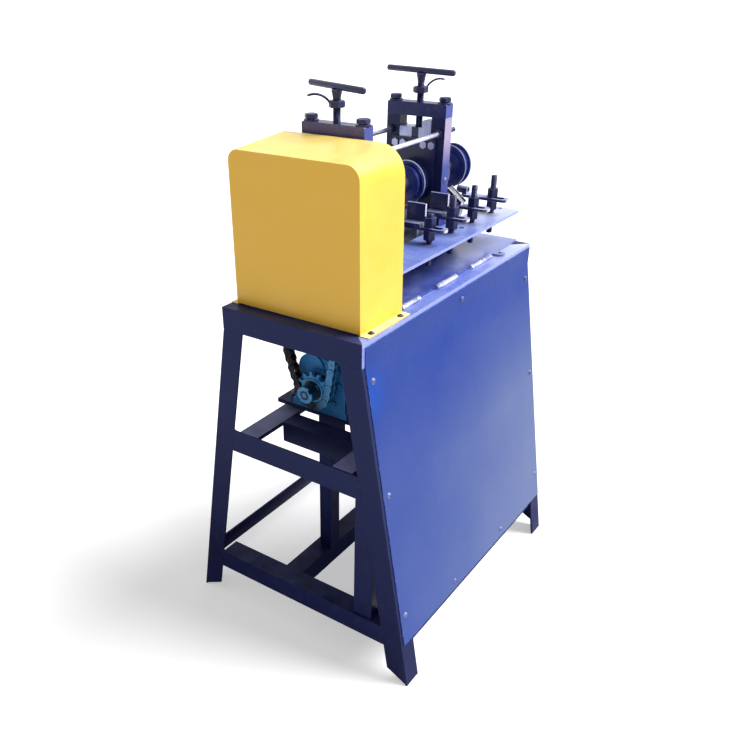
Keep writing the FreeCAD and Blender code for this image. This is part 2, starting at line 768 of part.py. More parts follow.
def rods_and_nuts():
    rods = []
    for across in tie_rod_places():
        length = size.plate_spacing + size.plate_thick + 2 * size.tie_rod_overhang
        spot = (near_plate - size.tie_rod_overhang, across, size.tie_rod_height)
        rods.append(round_bar("tie_rod", size.tie_rod_size, length, spot, along_x, 90))
    for across, up in motor_stud_places():
        spot = (across, up, size.mid_rail_top - size.motor_stud_down)
        rods.append(round_bar("motor_stud", size.stud_size, size.motor_stud_down + size.motor_stud_up, spot))
    for number in range(4):
        spot = (station(number), -size.stud_place, size.stud_bottom)
        rods.append(round_bar("station_stud", size.stud_size, size.stud_top - size.stud_bottom, spot))
    group("threaded_rods", rods)
    fixed_nut = hex_nut("stud_nut", size.nut_across, size.nut_height, size.stud_size)
    tie_nut = hex_nut("rod_nut", size.tie_nut, size.tie_nut_height, size.tie_rod_size)
    nuts = []
    for across in tie_rod_places():
        for start in (near_plate - size.tie_nut_height, near_plate + size.plate_thick,
                      far_plate - size.tie_nut_height, far_plate + size.plate_thick):
            nuts.append(link(tie_nut, (start, across, size.tie_rod_height), along_x, 90))
    for across, up in motor_stud_places():
        under_rail = size.mid_rail_top - size.angle_wall - size.nut_height
        for height in (under_rail, size.mid_rail_top, motor_plate_top):
            nuts.append(link(fixed_nut, (across, up, height)))
    for number in range(4):
        for count in (1, 2):
            height = size.feed_top - size.feed_thick - count * size.nut_height
            nuts.append(link(fixed_nut, (station(number), -size.stud_place, height)))
    group("fixed_nuts", nuts)


def lower_bushes():
    bushes = []
    for name, plate in (("near_bush", near_plate), ("far_bush", far_plate)):
        outer = size.shaft_diameter + 2 * size.bush_wall
        start = as_size(0)
        middle = size.plate_thick
        end = size.plate_thick + size.bush_flange_thick
        flange = outer + 2 * size.bush_flange
        steps = [(start, middle, outer), (middle, end, flange)]
        body = turned(name, steps, size.shaft_diameter + 2 * size.running_gap)
        place(body, (plate, size.head_offset, size.lower_axis))
        bushes.append(body)
    group("lower_bushes", bushes)


# Feed plate in front of the rollers, on two angle brackets
def feed_plate():
    body = new_body("feed_plate")
    sketch = start_sketch(body, "XY")
    left = near_plate + size.feed_overlap
    right = station(3) + size.feed_end_margin
    back = size.head_offset - size.plate_width / 2 - size.feed_gap
    outline(sketch, [(left, -size.feed_front, size.feed_near_round),
                     (right, -size.feed_front, size.feed_far_round), (right, back), (left, back)])
    for number in range(4):
        circle(sketch, station(number), -size.stud_place, size.stud_size)
    for number in (1, 3):
        circle(sketch, station(number) + size.spare_hole_place, -size.stud_place, size.spare_hole)
    pad(body, sketch, size.feed_thick)
    place(body, (0, 0, size.feed_top - size.feed_thick))
    keep(body, "feed_plate")


def feed_brackets():
    brackets = []
    for name, plate in (("near_bracket", near_plate), ("far_bracket", far_plate)):
        body = new_body(name)
        section = start_sketch(body, "YZ")
        wall = size.bracket_wall
        reach = size.bracket_width
        drop = size.bracket_drop
        outline(section, [(0, 0), (-reach, 0), (-reach, -wall), (-wall, -wall), (-wall, -drop), (0, -drop)])
        pad(body, section, size.plate_thick)
        front = size.head_offset - size.plate_width / 2
        place(body, (plate, front, size.feed_top - size.feed_thick))
        brackets.append(body)
    group("feed_brackets", brackets)


# Drive: plate, gear case and finned motor with its terminal box
def motor_plate():
    body = new_body("motor_plate")
    sketch = start_sketch(body, "XY")
    left = near_end + size.motor_plate_edge
    half = size.motor_plate_width / 2
    outline(sketch, rectangle(left, left + size.motor_plate_length, -half, half))
    for across, up in motor_stud_places():
        circle(sketch, across, up, size.stud_size)
    pad(body, sketch, size.motor_plate_thick)
    place(body, (0, 0, motor_plate_bottom))
    keep(body, "motor_plate")


case_start = near_end + size.motor_plate_edge
case_end = case_start + size.case_length
motor_place = size.drive_axis_place + size.case_lump_side
motor_axis = drive_axis + size.case_lump_rise


def gear_case():
    body = new_body("gear_case")
    foot = start_sketch(body, "YZ")
    bottom = -size.drive_axis_rise
    left = -size.case_width / 2 - size.case_foot_shift
    outline(foot, rectangle(left, left + size.case_foot_width, bottom, bottom + size.case_foot_thick))
    pad(body, foot, size.case_length)
    web = start_sketch(body, "YZ")
    outline(web, rectangle(-size.case_width / 2, size.case_width / 2, bottom, 0))
    pad(body, web, size.case_length)
    drum = start_sketch(body, "YZ")
    circle(drum, 0, 0, size.case_width)
    pad(body, drum, size.case_length)
    lump = start_sketch(body, "YZ", -size.case_lump_step)
    circle(lump, size.case_lump_side, size.case_lump_rise, size.case_lump_width)
    pad(body, lump, size.case_length + size.case_lump_step)
    neck = start_sketch(body, "YZ", size.case_length / 2)
    circle(neck, size.case_lump_side, size.case_lump_rise, size.case_neck_width)
    pad(body, neck, size.case_length / 2)
    cap = start_sketch(body, "YZ", -size.case_cap_step)
    circle(cap, 0, 0, size.case_cap_width)
    pad(body, cap, size.case_cap_step)
    bore = start_sketch(body, "YZ", -size.case_cap_step)
    circle(bore, 0, 0, size.output_diameter + 2 * size.running_gap)
    pocket(body, bore, size.case_socket + size.case_cap_step, back=True)
    place(body, (case_start, size.drive_axis_place, drive_axis))
    keep(body, "gear_case")


def motor():
    body = new_body("motor")
    sketch = start_sketch(body, "XZ")
    radius = size.motor_width / 2
    flange = size.motor_flange / 2
    flange_end = size.motor_flange_thick
    length = size.motor_length
    fan = length - size.fan_cover_length
    hood = radius + size.motor_fin
    outline(sketch, [(0, 0), (0, flange), (flange_end, flange), (flange_end, radius), (fan, radius),
                     (fan, hood), (length, hood, size.fan_cover_round), (length, 0)])
    revolve(body, sketch)
    fin = start_sketch(body, "XZ", -size.motor_fin_thick / 2)
    outline(fin, rectangle(flange_end, fan, radius - size.motor_fin_root, hood))
    rib = pad(body, fin, size.motor_fin_thick)
    ribs = body.newObject("PartDesign::PolarPattern", "motor_fins")
    ribs.Originals = [rib]
    ribs.Axis = (sketch, ["H_Axis"])
    ribs.Angle = 360
    ribs.setExpression("Occurrences", size.motor_fin_count.formula)
    body.Tip = ribs
    place(body, (case_end, motor_place, motor_axis))
    keep(body, "motor")


def rounded_box(half_long, half_wide, turn):
    return [(-half_long, -half_wide, turn), (half_long, -half_wide, turn), (half_long, half_wide, turn),
            (-half_long, half_wide, turn)]


def terminal_box():
    body = new_body("terminal_box")
    sketch = start_sketch(body, "XY")
    half_long = size.terminal_length / 2
    half_wide = size.terminal_width / 2
    rim = size.lid_rim
    outline(sketch, rounded_box(half_long, half_wide, size.terminal_round))
    pad(body, sketch, size.terminal_height)
    lid = start_sketch(body, "XY", size.terminal_height)
    outline(lid, rounded_box(half_long + rim, half_wide + rim, size.terminal_round + rim))
    pad(body, lid, size.lid_thick)
    gland = start_sketch(body, "XZ", -half_wide)
    outline(gland, hexagon(size.gland_width, 0, size.terminal_height / 2))
    pad(body, gland, size.gland_length, back=True)
    middle = case_end + size.motor_flange_thick + half_long + size.terminal_gap
    place(body, (middle, motor_place, motor_axis + size.motor_width / 2 + size.motor_fin))
    keep(body, "terminal_box")


# Tooth and link forms, as shares of the module, the roller, the tooth step or the link height
pressure_angle = math.radians(20)
tooth_rise = 0.95
tooth_depth = 1.25
sprocket_tip_rise = 0.33
sprocket_tip_width = 0.11
sprocket_seat_angle = math.radians(56)
link_end_share = 0.5
link_corner_share = 0.29
roller_sides = 8
pin_sides = 6


# Toothed wheels: the outline of one tooth, repeated round the wheel
def polar(radius, angle):
    return vector(0, radius * math.sin(angle), radius * math.cos(angle))


def involute(radius, base):
    pressure = math.acos(min(1.0, base / radius))
    return math.tan(pressure) - pressure


def round_boss(diameter, start, length):
    return Part.makeCylinder(diameter / 2, length, vector(start, 0, 0), vector(1, 0, 0))


def gear_shape(turn):
    module = size.gear_module.value
    teeth = int(round(size.gear_teeth.value))
    pitch_radius = module * teeth / 2
    base = pitch_radius * math.cos(pressure_angle)
    tip = pitch_radius + module * tooth_rise
    foot = pitch_radius - module * tooth_depth
    thickness = math.pi * module / 2 - size.tooth_backlash.value
    at_base = thickness / (2 * pitch_radius) + involute(pitch_radius, base)
    flank = [(radius, at_base - involute(radius, base)) for radius in (base, (base + tip) / 2, tip)]
    step = 2 * math.pi / teeth
    edges = []
    for tooth in range(teeth):
        centre = turn + tooth * step
        left = [polar(radius, centre - half) for radius, half in flank]
        right = [polar(radius, centre + half) for radius, half in reversed(flank)]
        start = polar(foot, centre - at_base)
        end = polar(foot, centre + at_base)
        following = polar(foot, centre + step - at_base)
        edges.append(Part.LineSegment(start, left[0]))
        edges.append(Part.Arc(left[0], left[1], left[2]))
        edges.append(Part.LineSegment(left[2], right[0]))
        edges.append(Part.Arc(right[0], right[1], right[2]))
        edges.append(Part.LineSegment(right[2], end))
        edges.append(Part.LineSegment(end, following))
    wire = Part.Wire([edge.toShape() for edge in edges])
    wheel = Part.Face(wire).extrude(vector(size.gear_width.value, 0, 0))
    return wheel.cut(round_boss(size.seat_diameter.value, 0, size.gear_width.value))


def sprocket_radius(teeth):
    return size.chain_pitch.value / (2 * math.sin(math.pi / teeth))


def sprocket_shape(teeth, turn):
    radius = sprocket_radius(teeth)
    seat = size.roller_size.value / 2 + size.seat_gap.value
    tip = radius + size.roller_size.value * sprocket_tip_rise
    step = 2 * math.pi / teeth
    thick = size.sprocket_thick.value
    edges = []
    tip_half = step * sprocket_tip_width
    for tooth in range(teeth):
        centre = turn + tooth * step
        out = polar(1, centre)
        side = polar(1, centre + math.pi / 2)
        middle = polar(radius, centre)
        rise = seat * math.cos(sprocket_seat_angle)
        reach = seat * math.sin(sprocket_seat_angle)
        first = middle - side * reach - out * rise
        last = middle + side * reach - out * rise
        deepest = middle - out * seat
        top_start = polar(tip, centre + step / 2 - tip_half)
        top_end = polar(tip, centre + step / 2 + tip_half)
        after = polar(radius, centre + step)
        next_out = polar(1, centre + step)
        next_side = polar(1, centre + step + math.pi / 2)
        next_first = after - next_side * reach - next_out * rise
        edges.append(Part.Arc(first, deepest, last))
        edges.append(Part.LineSegment(last, top_start))
        edges.append(Part.LineSegment(top_start, top_end))
        edges.append(Part.LineSegment(top_end, next_first))
    wire = Part.Wire([edge.toShape() for edge in edges])
    return Part.Face(wire).extrude(vector(thick, 0, 0)).translated(vector(-thick / 2, 0, 0))


def hubbed_sprocket(teeth, turn, hub, near_step, far_step, bore):
    wheel = sprocket_shape(teeth, turn)
    half = size.sprocket_thick.value / 2
    length = near_step + 2 * half + far_step
    start = -half - near_step
    return wheel.fuse(round_boss(hub, start, length)).cut(round_boss(bore, start, length)).removeSplitter()


def feature(label, shape, spot):
    thing = doc.addObject("Part::Feature", label)
    thing.Shape = shape
    place(thing, spot)
    return keep(thing, label)


# Chain route: two sprocket arcs, a tight front strand and a slack rear strand of a wide arc.
# The radius of that arc is sought between a multiple of the large sprocket and one of the span.
tightest_slack = 1.6
straightest_slack = 400


class ChainRoute:
    def __init__(self):
        self.pitch = size.chain_pitch.value
        self.small = vector(0, size.drive_axis_place.value, drive_axis.value)
        self.large = vector(0, size.head_offset.value, size.lower_axis.value)
        self.small_teeth = int(round(size.drive_teeth.value))
        self.large_teeth = int(round(size.driven_teeth.value))
        self.small_radius = sprocket_radius(self.small_teeth)
        self.large_radius = sprocket_radius(self.large_teeth)
        self.distance = (self.large - self.small).Length
        self.links = size.chain_links.value
        self.slack_radius = self.find_slack_radius()
        self.measure(self.slack_radius)

    def heading(self, spot):
        return math.atan2(spot.y, spot.z)

    # Angles are counted from +Z towards +Y; the rear strand bulges towards +Y
    def measure(self, slack_radius):
        base = self.heading(self.large - self.small)
        lean_front = math.acos((self.small_radius - self.large_radius) / self.distance)
        self.front_angle = base - lean_front
        to_small = slack_radius - self.small_radius
        to_large = slack_radius - self.large_radius
        cosine = (to_small ** 2 + self.distance ** 2 - to_large ** 2) / (2 * to_small * self.distance)
        at_small = math.acos(cosine)
        self.slack_centre = self.small + polar(to_small, base - at_small)
        self.rear_low = self.heading(self.small - self.slack_centre)
        self.rear_high = self.heading(self.large - self.slack_centre)
        self.front_length = math.sqrt(self.distance ** 2 - (self.large_radius - self.small_radius) ** 2)
        self.slack_step = 2 * math.asin(self.pitch / (2 * slack_radius))
        front_turn = self.front_angle + 2 * math.pi
        self.spans = [
            (front_turn - self.rear_low) / (2 * math.pi / self.small_teeth),
            self.front_length / self.pitch,
            (self.rear_high - self.front_angle) / (2 * math.pi / self.large_teeth),
            (self.rear_low - self.rear_high) / self.slack_step,
        ]
        return sum(self.spans)

    def find_slack_radius(self):
        tight = self.large_radius * tightest_slack
        wide = self.distance * straightest_slack
        for step in range(80):
            middle = math.sqrt(tight * wide)
            if self.measure(middle) > self.links:
                tight = middle
            else:
                wide = middle
        return tight

    # The place of a pin, counted in pitches from the start of the small sprocket's arc
    def pin(self, count):
        small_arc, front, large_arc, rear = self.spans
        if count < small_arc:
            angle = self.rear_low + count * 2 * math.pi / self.small_teeth
            return self.small + polar(self.small_radius, angle)
        count -= small_arc
        if count < front:
            start = self.small + polar(self.small_radius, self.front_angle)
            end = self.large + polar(self.large_radius, self.front_angle)
            return start + (end - start) * (count / front)
        count -= front
        if count < large_arc:
            angle = self.front_angle + count * 2 * math.pi / self.large_teeth
            return self.large + polar(self.large_radius, angle)
        count -= large_arc
        angle = self.rear_high + count * self.slack_step
        return self.slack_centre + polar(self.slack_radius, angle)

    # Sprocket angles that put a tooth gap under each pin
    def small_turn(self):
        return self.rear_low

    def large_turn(self):
        count = math.ceil(self.spans[0] + self.spans[1]) - self.spans[0] - self.spans[1]
        return self.front_angle + count * 2 * math.pi / self.large_teeth


def link_plate(inner_face, length):
    height = size.link_height.value
    reach = length / 2 + height * link_end_share
    corner = height * link_corner_share
    half = height / 2
    points = [(-reach, -corner + 1), (-reach + corner, -half), (reach - corner, -half), (reach, -corner + 1),
              (reach, corner - 1), (reach - corner, half), (corner - reach, half), (-reach, corner - 1)]
    corners = [vector(inner_face, across, up) for across, up in points]
    wire = Part.makePolygon(corners + corners[:1])
    return Part.Face(wire).extrude(vector(size.link_wall.value, 0, 0))


def flat_sided_pin(start, end, diameter, sides, across):
    corners = []
    for side in range(sides):
        angle = 2 * math.pi * (side + 0.5) / sides
        corners.append(vector(start, across, 0) + polar(diameter / 2, angle))
    wire = Part.makePolygon(corners + corners[:1])
    return Part.Face(wire).extrude(vector(end - start, 0, 0))


def roller_chain(route):
    pitch = route.pitch
    inner = size.link_inner_width.value / 2
    wall = size.link_wall.value
    roller = size.roller_size.value
    left = link_plate(-inner - wall, pitch)
    right = link_plate(inner, pitch)
    rollers = [flat_sided_pin(-inner, inner, roller, roller_sides, side * pitch / 2) for side in (-1, 1)]
    inner_link = left.fuse([right] + rollers)
    outer_plates = []
    for face, head in ((inner + wall, inner + 2 * wall), (-inner - 2 * wall, -inner - 2 * wall)):
        plate = link_plate(face, pitch)
        proud = size.pin_proud.value
        start = head if head > 0 else head - proud
        end = start + proud
        pin = size.pin_size.value
        heads = [flat_sided_pin(start, end, pin, pin_sides, side * pitch / 2) for side in (-1, 1)]
        outer_plates.append(plate.fuse(heads))
    outer_link = Part.makeCompound(outer_plates)
    links = []
    for number in range(int(round(size.chain_links.value))):
        start = route.pin(number)
        end = route.pin((number + 1) % size.chain_links.value)
        middle = (start + end) * 0.5
        lie = math.degrees(math.atan2(end.z - start.z, end.y - start.y))
        shape = inner_link if number % 2 == 0 else outer_link
        turned_link = shape.copy()
        turned_link.Placement = FreeCAD.Placement(middle, FreeCAD.Rotation(vector(1, 0, 0), lie))
        links.append(turned_link)
    solids = [solid for shape in links for solid in shape.Solids]
    feature("roller_chain", Part.makeCompound(solids), (chain_plane, 0, 0))


def drive_train(route):
    driven = hubbed_sprocket(route.large_teeth, route.large_turn(), size.driven_hub.value, 0,
                             (gear_start - chain_plane).value - size.sprocket_thick.value / 2,
                             size.seat_diameter.value)
    feature("driven_sprocket", driven, (chain_plane, size.head_offset, size.lower_axis))
    drive = hubbed_sprocket(route.small_teeth, route.small_turn(), size.drive_hub.value,
                            size.drive_hub_near.value, size.drive_hub_far.value, size.output_diameter.value)
    feature("drive_sprocket", drive, (chain_plane, size.drive_axis_place, drive_axis))
    teeth = size.gear_teeth.value
    feature("lower_gear", gear_shape(0), (gear_start, size.head_offset, size.lower_axis))
    feature("upper_gear", gear_shape(math.pi / teeth + math.pi * (teeth % 2) / teeth),
            (gear_start, size.head_offset, upper_axis))
    roller_chain(route)


def output_shaft():
    start = chain_plane - size.output_overhang
    end = case_start + size.case_socket
    body = turned("output_shaft", [(0, end - start, size.output_diameter)], None, size.shaft_chamfer)
    key = start_sketch(body, "XY", size.output_diameter / 2 - size.key_depth)
    key_end = size.output_overhang - size.key_margin
    outline(key, rectangle(-size.shaft_chamfer, key_end, -size.key_width / 2, size.key_width / 2))
    pocket(body, key, 2 * size.key_depth, back=True)
    place(body, (start, size.drive_axis_place, drive_axis), tilt_x, size.key_angle.value)
    keep(body, "output_shaft")


# Shafts, rollers and blades
shaft_end = station(3) + size.roller_width / 2


def main_shaft(label, start, height):
    seat_end = near_plate - size.seat_clearance
    steps = [(start, seat_end, size.seat_diameter), (seat_end, shaft_end, size.shaft_diameter),
             (shaft_end, shaft_end + size.shaft_thread, size.shaft_thread)]
    body = turned(label, steps, None, size.shaft_chamfer)
    place(body, (0, size.head_offset, height))
    keep(body, label)


def end_nut(name, height):
    body = hex_nut(name, size.end_nut_across, size.end_nut_height, size.shaft_thread)
    place(body, (shaft_end, size.head_offset, height), along_x, 90)
    keep(body, name)


def lower_rollers():
    bore = size.shaft_diameter
    half = size.roller_width / 2
    rollers = []
    for number in range(3):
        body = new_body("feed_roller")
        sketch = start_sketch(body, "XZ")
        outer = size.lower_roller / 2
        depth = size.groove_depth
        edge = size.roller_edge
        outline(sketch, [(-half, bore / 2), (-half, outer - edge), (edge - half, outer), (-depth, outer),
                         (0, outer - depth), (depth, outer), (half - edge, outer), (half, outer - edge),
                         (half, bore / 2)])
        revolve(body, sketch)
        place(body, (station(number), size.head_offset, size.lower_axis))
        rollers.append(body)
    rim = size.far_roller_width / 2
    steps = [(-half, -rim, size.far_roller_hub), (-rim, rim, size.far_roller),
             (rim, half, size.far_roller_hub)]
    far = turned("far_feed_roller", steps, bore)
    place(far, (station(3), size.head_offset, size.lower_axis))
    rollers.append(far)
    group("feed_rollers", rollers)


def upper_rollers():
    bore = size.shaft_diameter
    half = size.roller_width / 2
    blade = size.blade_thick / 2
    hubs = []
    ring = blade + size.ring_thick
    land = half - size.hub_land
    for number in range(3):
        steps = [(-half, -land, size.upper_hub), (-land, -ring, size.ring_groove),
                 (-ring, -blade, size.upper_back_hub), (-blade, blade, size.blade_groove),
                 (blade, ring, size.upper_back_hub), (ring, land, size.ring_groove),
                 (land, half, size.upper_back_hub)]
        body = turned("disc_hub", steps, bore)
        place(body, (station(number), size.head_offset, upper_axis))
        hubs.append(body)
    rim = size.wheel_gap / 2
    outer = rim + size.wheel_flange
    steps = [(-half, -outer, size.wheel_hub), (-outer, -rim, size.wheel_width), (-rim, rim, size.wheel_core),
             (rim, outer, size.wheel_width), (outer, half, size.wheel_hub)]
    wheel = turned("far_wheel", steps, bore)
    place(wheel, (station(3), size.head_offset, upper_axis))
    hubs.append(wheel)
    group("disc_hubs", hubs)


def cutting_discs():
    discs = []
    edge = size.blade_width / 2
    inner = size.blade_groove / 2
    thin = size.blade_thick / 2
    for number in range(3):
        body = new_body("cutting_disc")
        sketch = start_sketch(body, "XZ")
        bevel = edge - size.blade_edge
        outline(sketch, [(-thin, inner), (-thin, bevel), (0, edge), (thin, bevel), (thin, inner)])
        revolve(body, sketch)
        place(body, (station(number), size.head_offset, upper_axis))
        discs.append(body)
    group("cutting_discs", discs)


# Sliding blocks, each held in its window by a keeper on either side, and a higher front shoulder
def bearing_block(label, start):
    body = new_body(label)
    gap = size.sliding_gap
    bore = size.shaft_diameter + 2 * size.running_gap
    profile = start_sketch(body, "YZ", -gap)
    half = size.window_width / 2 - gap
    step = -size.shoulder_place
    low = size.block_bottom_round
    high = size.block_top_round
    outline(profile, [(-half, size.block_bottom, low), (half, size.block_bottom, low),
                      (half, size.block_top, high), (step, size.block_top),
                      (step, size.block_shoulder, high), (-half, size.block_shoulder, high)])
    circle(profile, 0, upper_axis, bore)
    pad(body, profile, size.plate_thick + 2 * gap)
    bolt_height = size.keeper_top - size.keeper_bolt_drop
    for lift, away in ((-gap, True), (size.plate_thick + gap, False)):
        keeper = start_sketch(body, "YZ", lift)
        wide = size.keeper_width / 2
        outline(keeper, rectangle(-wide, wide, size.keeper_bottom, size.keeper_top))
        circle(keeper, 0, upper_axis, bore)
        pad(body, keeper, size.keeper_thick, back=away)
        bolts = start_sketch(body, "YZ", lift)
        for place_y in (size.keeper_bolt_inner, size.keeper_bolt_outer):
            outline(bolts, hexagon(size.keeper_bolt, place_y, bolt_height))
            outline(bolts, hexagon(size.keeper_bolt, -place_y, bolt_height))
        pad(body, bolts, size.keeper_thick + size.keeper_bolt_height, back=away)
    socket = start_sketch(body, "XY", size.block_top)
    circle(socket, size.plate_thick / 2, 0, size.screw_size + 2 * size.running_gap)
    pocket(body, socket, size.screw_socket)
    place(body, (start, size.head_offset, 0))
    keep(body, label)


def pressure_screw(label, start, bar_height, bar_length, bar_shift, angle):
    body = new_body(label)
    spindle = start_sketch(body, "XZ")
    thread = size.screw_size / 2
    bottom = size.block_top - size.screw_socket + size.sliding_gap
    hub = size.screw_hub_width / 2
    hub_top = bar_height - size.bar_size / 2 + size.bar_sink
    hub_edge = size.screw_hub_edge
    tip = size.screw_tip
    outline(spindle, [(0, bottom), (thread - tip, bottom), (thread, bottom + tip),
                      (thread, hub_top - size.screw_hub_height), (hub, hub_top - hub_edge),
                      (hub - hub_edge, hub_top), (0, hub_top)])
    revolve(body, spindle, "V_Axis")
    bar = start_sketch(body, "XZ")
    left = bar_shift - bar_length / 2
    right = bar_shift + bar_length / 2
    top = size.bar_size / 2
    outline(bar, [(left, 0), (left, top, size.bar_end_round), (right, top, size.bar_end_round), (right, 0)])
    bar.setExpression("AttachmentOffset.Base.y", bar_height.formula)
    revolve(body, bar)
    place(body, (start + size.plate_thick / 2, size.head_offset, 0), vector(0, 0, 1), angle)
    keep(body, label)


def lock_nut(label, start, height, angle):
    body = new_body(label)
    ring = start_sketch(body, "XY")
    outline(ring, hexagon(size.lock_nut_width))
    circle(ring, 0, 0, size.screw_size + 2 * size.running_gap)
    pad(body, ring, size.lock_nut_thick)
    wire = start_sketch(body, "YZ", size.lever_apex)
    centre_height = size.lock_nut_thick / 2 + size.lever_rise - size.lever_bend
    wire.setExpression("AttachmentOffset.Base.y", centre_height.formula)
    circle(wire, 0, size.lever_bend, size.lever_wire)
    lever = revolve(body, wire)
    lever.Type = "TwoAngles"
    lever.setExpression("Angle", size.lever_outer_angle.formula)
    lever.setExpression("Angle2", size.lever_inner_angle.formula)
    spot = (start + size.plate_thick / 2, size.head_offset, height)
    place(body, spot, vector(0, 0, 1), angle)
    keep(body, label)


# Cable stations: two clamp nuts on each stud and a slotted strap that carries the guide
def clamp_nuts(number):
    nut = hex_nut("clamp_nut", size.nut_across, size.clamp_nut_height, size.stud_size + 2 * size.running_gap)
    low = size.strap_height - size.clamp_nut_height
    high = size.strap_height + size.strap_thick
    copies = [link(nut, (station(number), -size.stud_place, height)) for height in (low, high)]
    group("clamp_nuts_%d" % (number + 1), copies)


def strap_body(name, inner_end):
    body = new_body(name)
    sketch = start_sketch(body, "XY")
    half = size.strap_width / 2
    slot = size.slot_width / 2
    turn = size.strap_round
    slot_turn = size.slot_round
    outline(sketch, [(-half, -size.strap_front, turn), (half, -size.strap_front, turn), (half, inner_end),
                     (-half, inner_end)])
    outline(sketch, [(-slot, -size.slot_outer, slot_turn), (slot, -size.slot_outer, slot_turn),
                     (slot, -size.slot_inner, slot_turn), (-slot, -size.slot_inner, slot_turn)])
    pad(body, sketch, size.strap_thick)
    return body


def fence_strap(number):
    label = "guide_strap_%d" % (number + 1)
    body = strap_body(label, -size.fence_end)
    fence = start_sketch(body, "XZ", size.fence_end)
    half = size.strap_width / 2
    wall = size.fence_wall
    base = size.strap_thick
    top = base + size.fence_height
    outline(fence, [(-half, base), (half, base), (half, top), (half - wall, top), (half - wall, base + wall),
                    (-half, base + wall)])
    pad(body, fence, size.fence_front - size.fence_end)
    place(body, (station(number), 0, size.strap_height))
    keep(body, label)


def tube_strap(number):
    label = "guide_strap_%d" % (number + 1)
    body = strap_body(label, -size.tube_front / 2)
    rise = size.tube_height - size.strap_height
    saddle = start_sketch(body, "XZ", size.tube_front)
    outline(saddle, rectangle(-size.tube_width / 2, size.tube_width / 2, size.strap_thick / 2, rise))
    pad(body, saddle, size.tube_front / 2, back=True)
    tube = start_sketch(body, "XZ", size.tube_front)
    circle(tube, 0, rise, size.tube_width)
    length = size.tube_front + size.tube_end
    pad(body, tube, length, back=True)
    bore = start_sketch(body, "XZ", size.tube_front)
    circle(bore, 0, rise, size.tube_bore)
    pocket(body, bore, length)
    place(body, (station(number), 0, size.strap_height))
    keep(body, label)


def chute_strap(number):
    label = "guide_strap_%d" % (number + 1)
    strap = strap_body(label + "_strap", -size.fence_end)
    place(strap, (station(number), 0, size.strap_height))
    bore = size.chute_width - 2 * size.chute_wall
    margin = size.chute_wall
    outer = round_bar("chute_outer", size.chute_width, size.chute_length, (0, 0, 0))
    inner = round_bar("chute_inner", bore, size.chute_length + 2 * margin, (0, 0, -margin))
    half = doc.addObject("Part::Box", "chute_opening")
    half.setExpression("Length", size.chute_width.formula)
    half.setExpression("Width", size.chute_width.formula)
    half.setExpression("Height", (size.chute_length + 2 * margin).formula)
    place(half, (-size.chute_width / 2, -size.chute_width, -margin))
    tube = doc.addObject("Part::Cut", "chute_tube")
    tube.Base = outer
    tube.Tool = inner
    chute = doc.addObject("Part::Cut", "chute")
    chute.Base = tube
    chute.Tool = half
    height = size.strap_height + size.strap_thick + size.chute_width / 2 - size.chute_sink
    place(chute, (station(number), -size.chute_place, height), tilt_x, -(90 - size.chute_slope.value))
    whole = doc.addObject("Part::Fuse", label)
    whole.Base = strap
    whole.Tool = chute
    keep(whole, label)


# Build everything, piece by piece
for end_name, end in (("near", -1), ("far", 1)):
    for side_name, side in (("front", -1), ("rear", 1)):
        leg("%s_%s_leg" % (end_name, side_name), end, side)
top_rail("top_front_rail", "x", -1)
top_rail("top_rear_rail", "x", 1, notch=True)
top_rail("top_near_rail", "y", -1)
top_rail("top_far_rail", "y", 1)
group("mid_end_rails", [end_rail("mid_near_rail", -1, size.mid_rail_top, size.mid_rail_face, True),
                        end_rail("mid_far_rail", 1, size.mid_rail_top, size.mid_rail_face, True)])
group("low_end_rails", [end_rail("low_near_rail", -1, size.low_rail_top, size.angle_width, False),
                        end_rail("low_far_rail", 1, size.low_rail_top, size.angle_width, False)])
group("mid_long_rails", [mid_long_rail("mid_front_rail", -1), mid_long_rail("mid_rear_rail", 1)])
cross_rail()
group("low_side_bars", [low_side_bar("low_front_bar", -1), low_side_bar("low_rear_bar", 1)])
low_middle_rail()
motor_post()
end_post()
table_sheet()
front_panel()
gear_cover()
sheet_screws()
bearing_plate("near_bearing_plate", near_plate)
bearing_plate("far_bearing_plate", far_plate)
group("bearing_caps", [bearing_cap("near_cap", near_plate), bearing_cap("far_cap", far_plate)])
cap_bolts()
rods_and_nuts()
lower_bushes()
feed_plate()
feed_brackets()
motor_plate()
gear_case()
motor()
terminal_box()
chain_route = ChainRoute()
drive_train(chain_route)
output_shaft()
main_shaft("lower_shaft", chain_plane - size.sprocket_thick / 2 - size.shaft_proud, size.lower_axis)
main_shaft("upper_shaft", gear_start - size.shaft_proud, upper_axis)
end_nut("lower_end_nut", size.lower_axis)
end_nut("upper_end_nut", upper_axis)
lower_rollers()
upper_rollers()
cutting_discs()
bearing_block("near_block", near_plate)
bearing_block("far_block", far_plate)
pressure_screw("near_pressure_screw", near_plate, size.near_bar_height, size.near_bar_length,
               size.near_bar_shift, size.near_bar_angle.value)
pressure_screw("far_pressure_screw", far_plate, size.far_bar_height, size.far_bar_length,
               size.far_bar_shift, size.far_bar_angle.value)
lock_nut("near_lock_nut", near_plate, size.near_lock_height, size.near_lever_angle.value)
lock_nut("far_lock_nut", far_plate, size.far_lock_height, size.far_lever_angle.value)
for number in range(4):
    clamp_nuts(number)
fence_strap(0)
fence_strap(1)
chute_strap(2)
tube_strap(3)
doc.recompute()

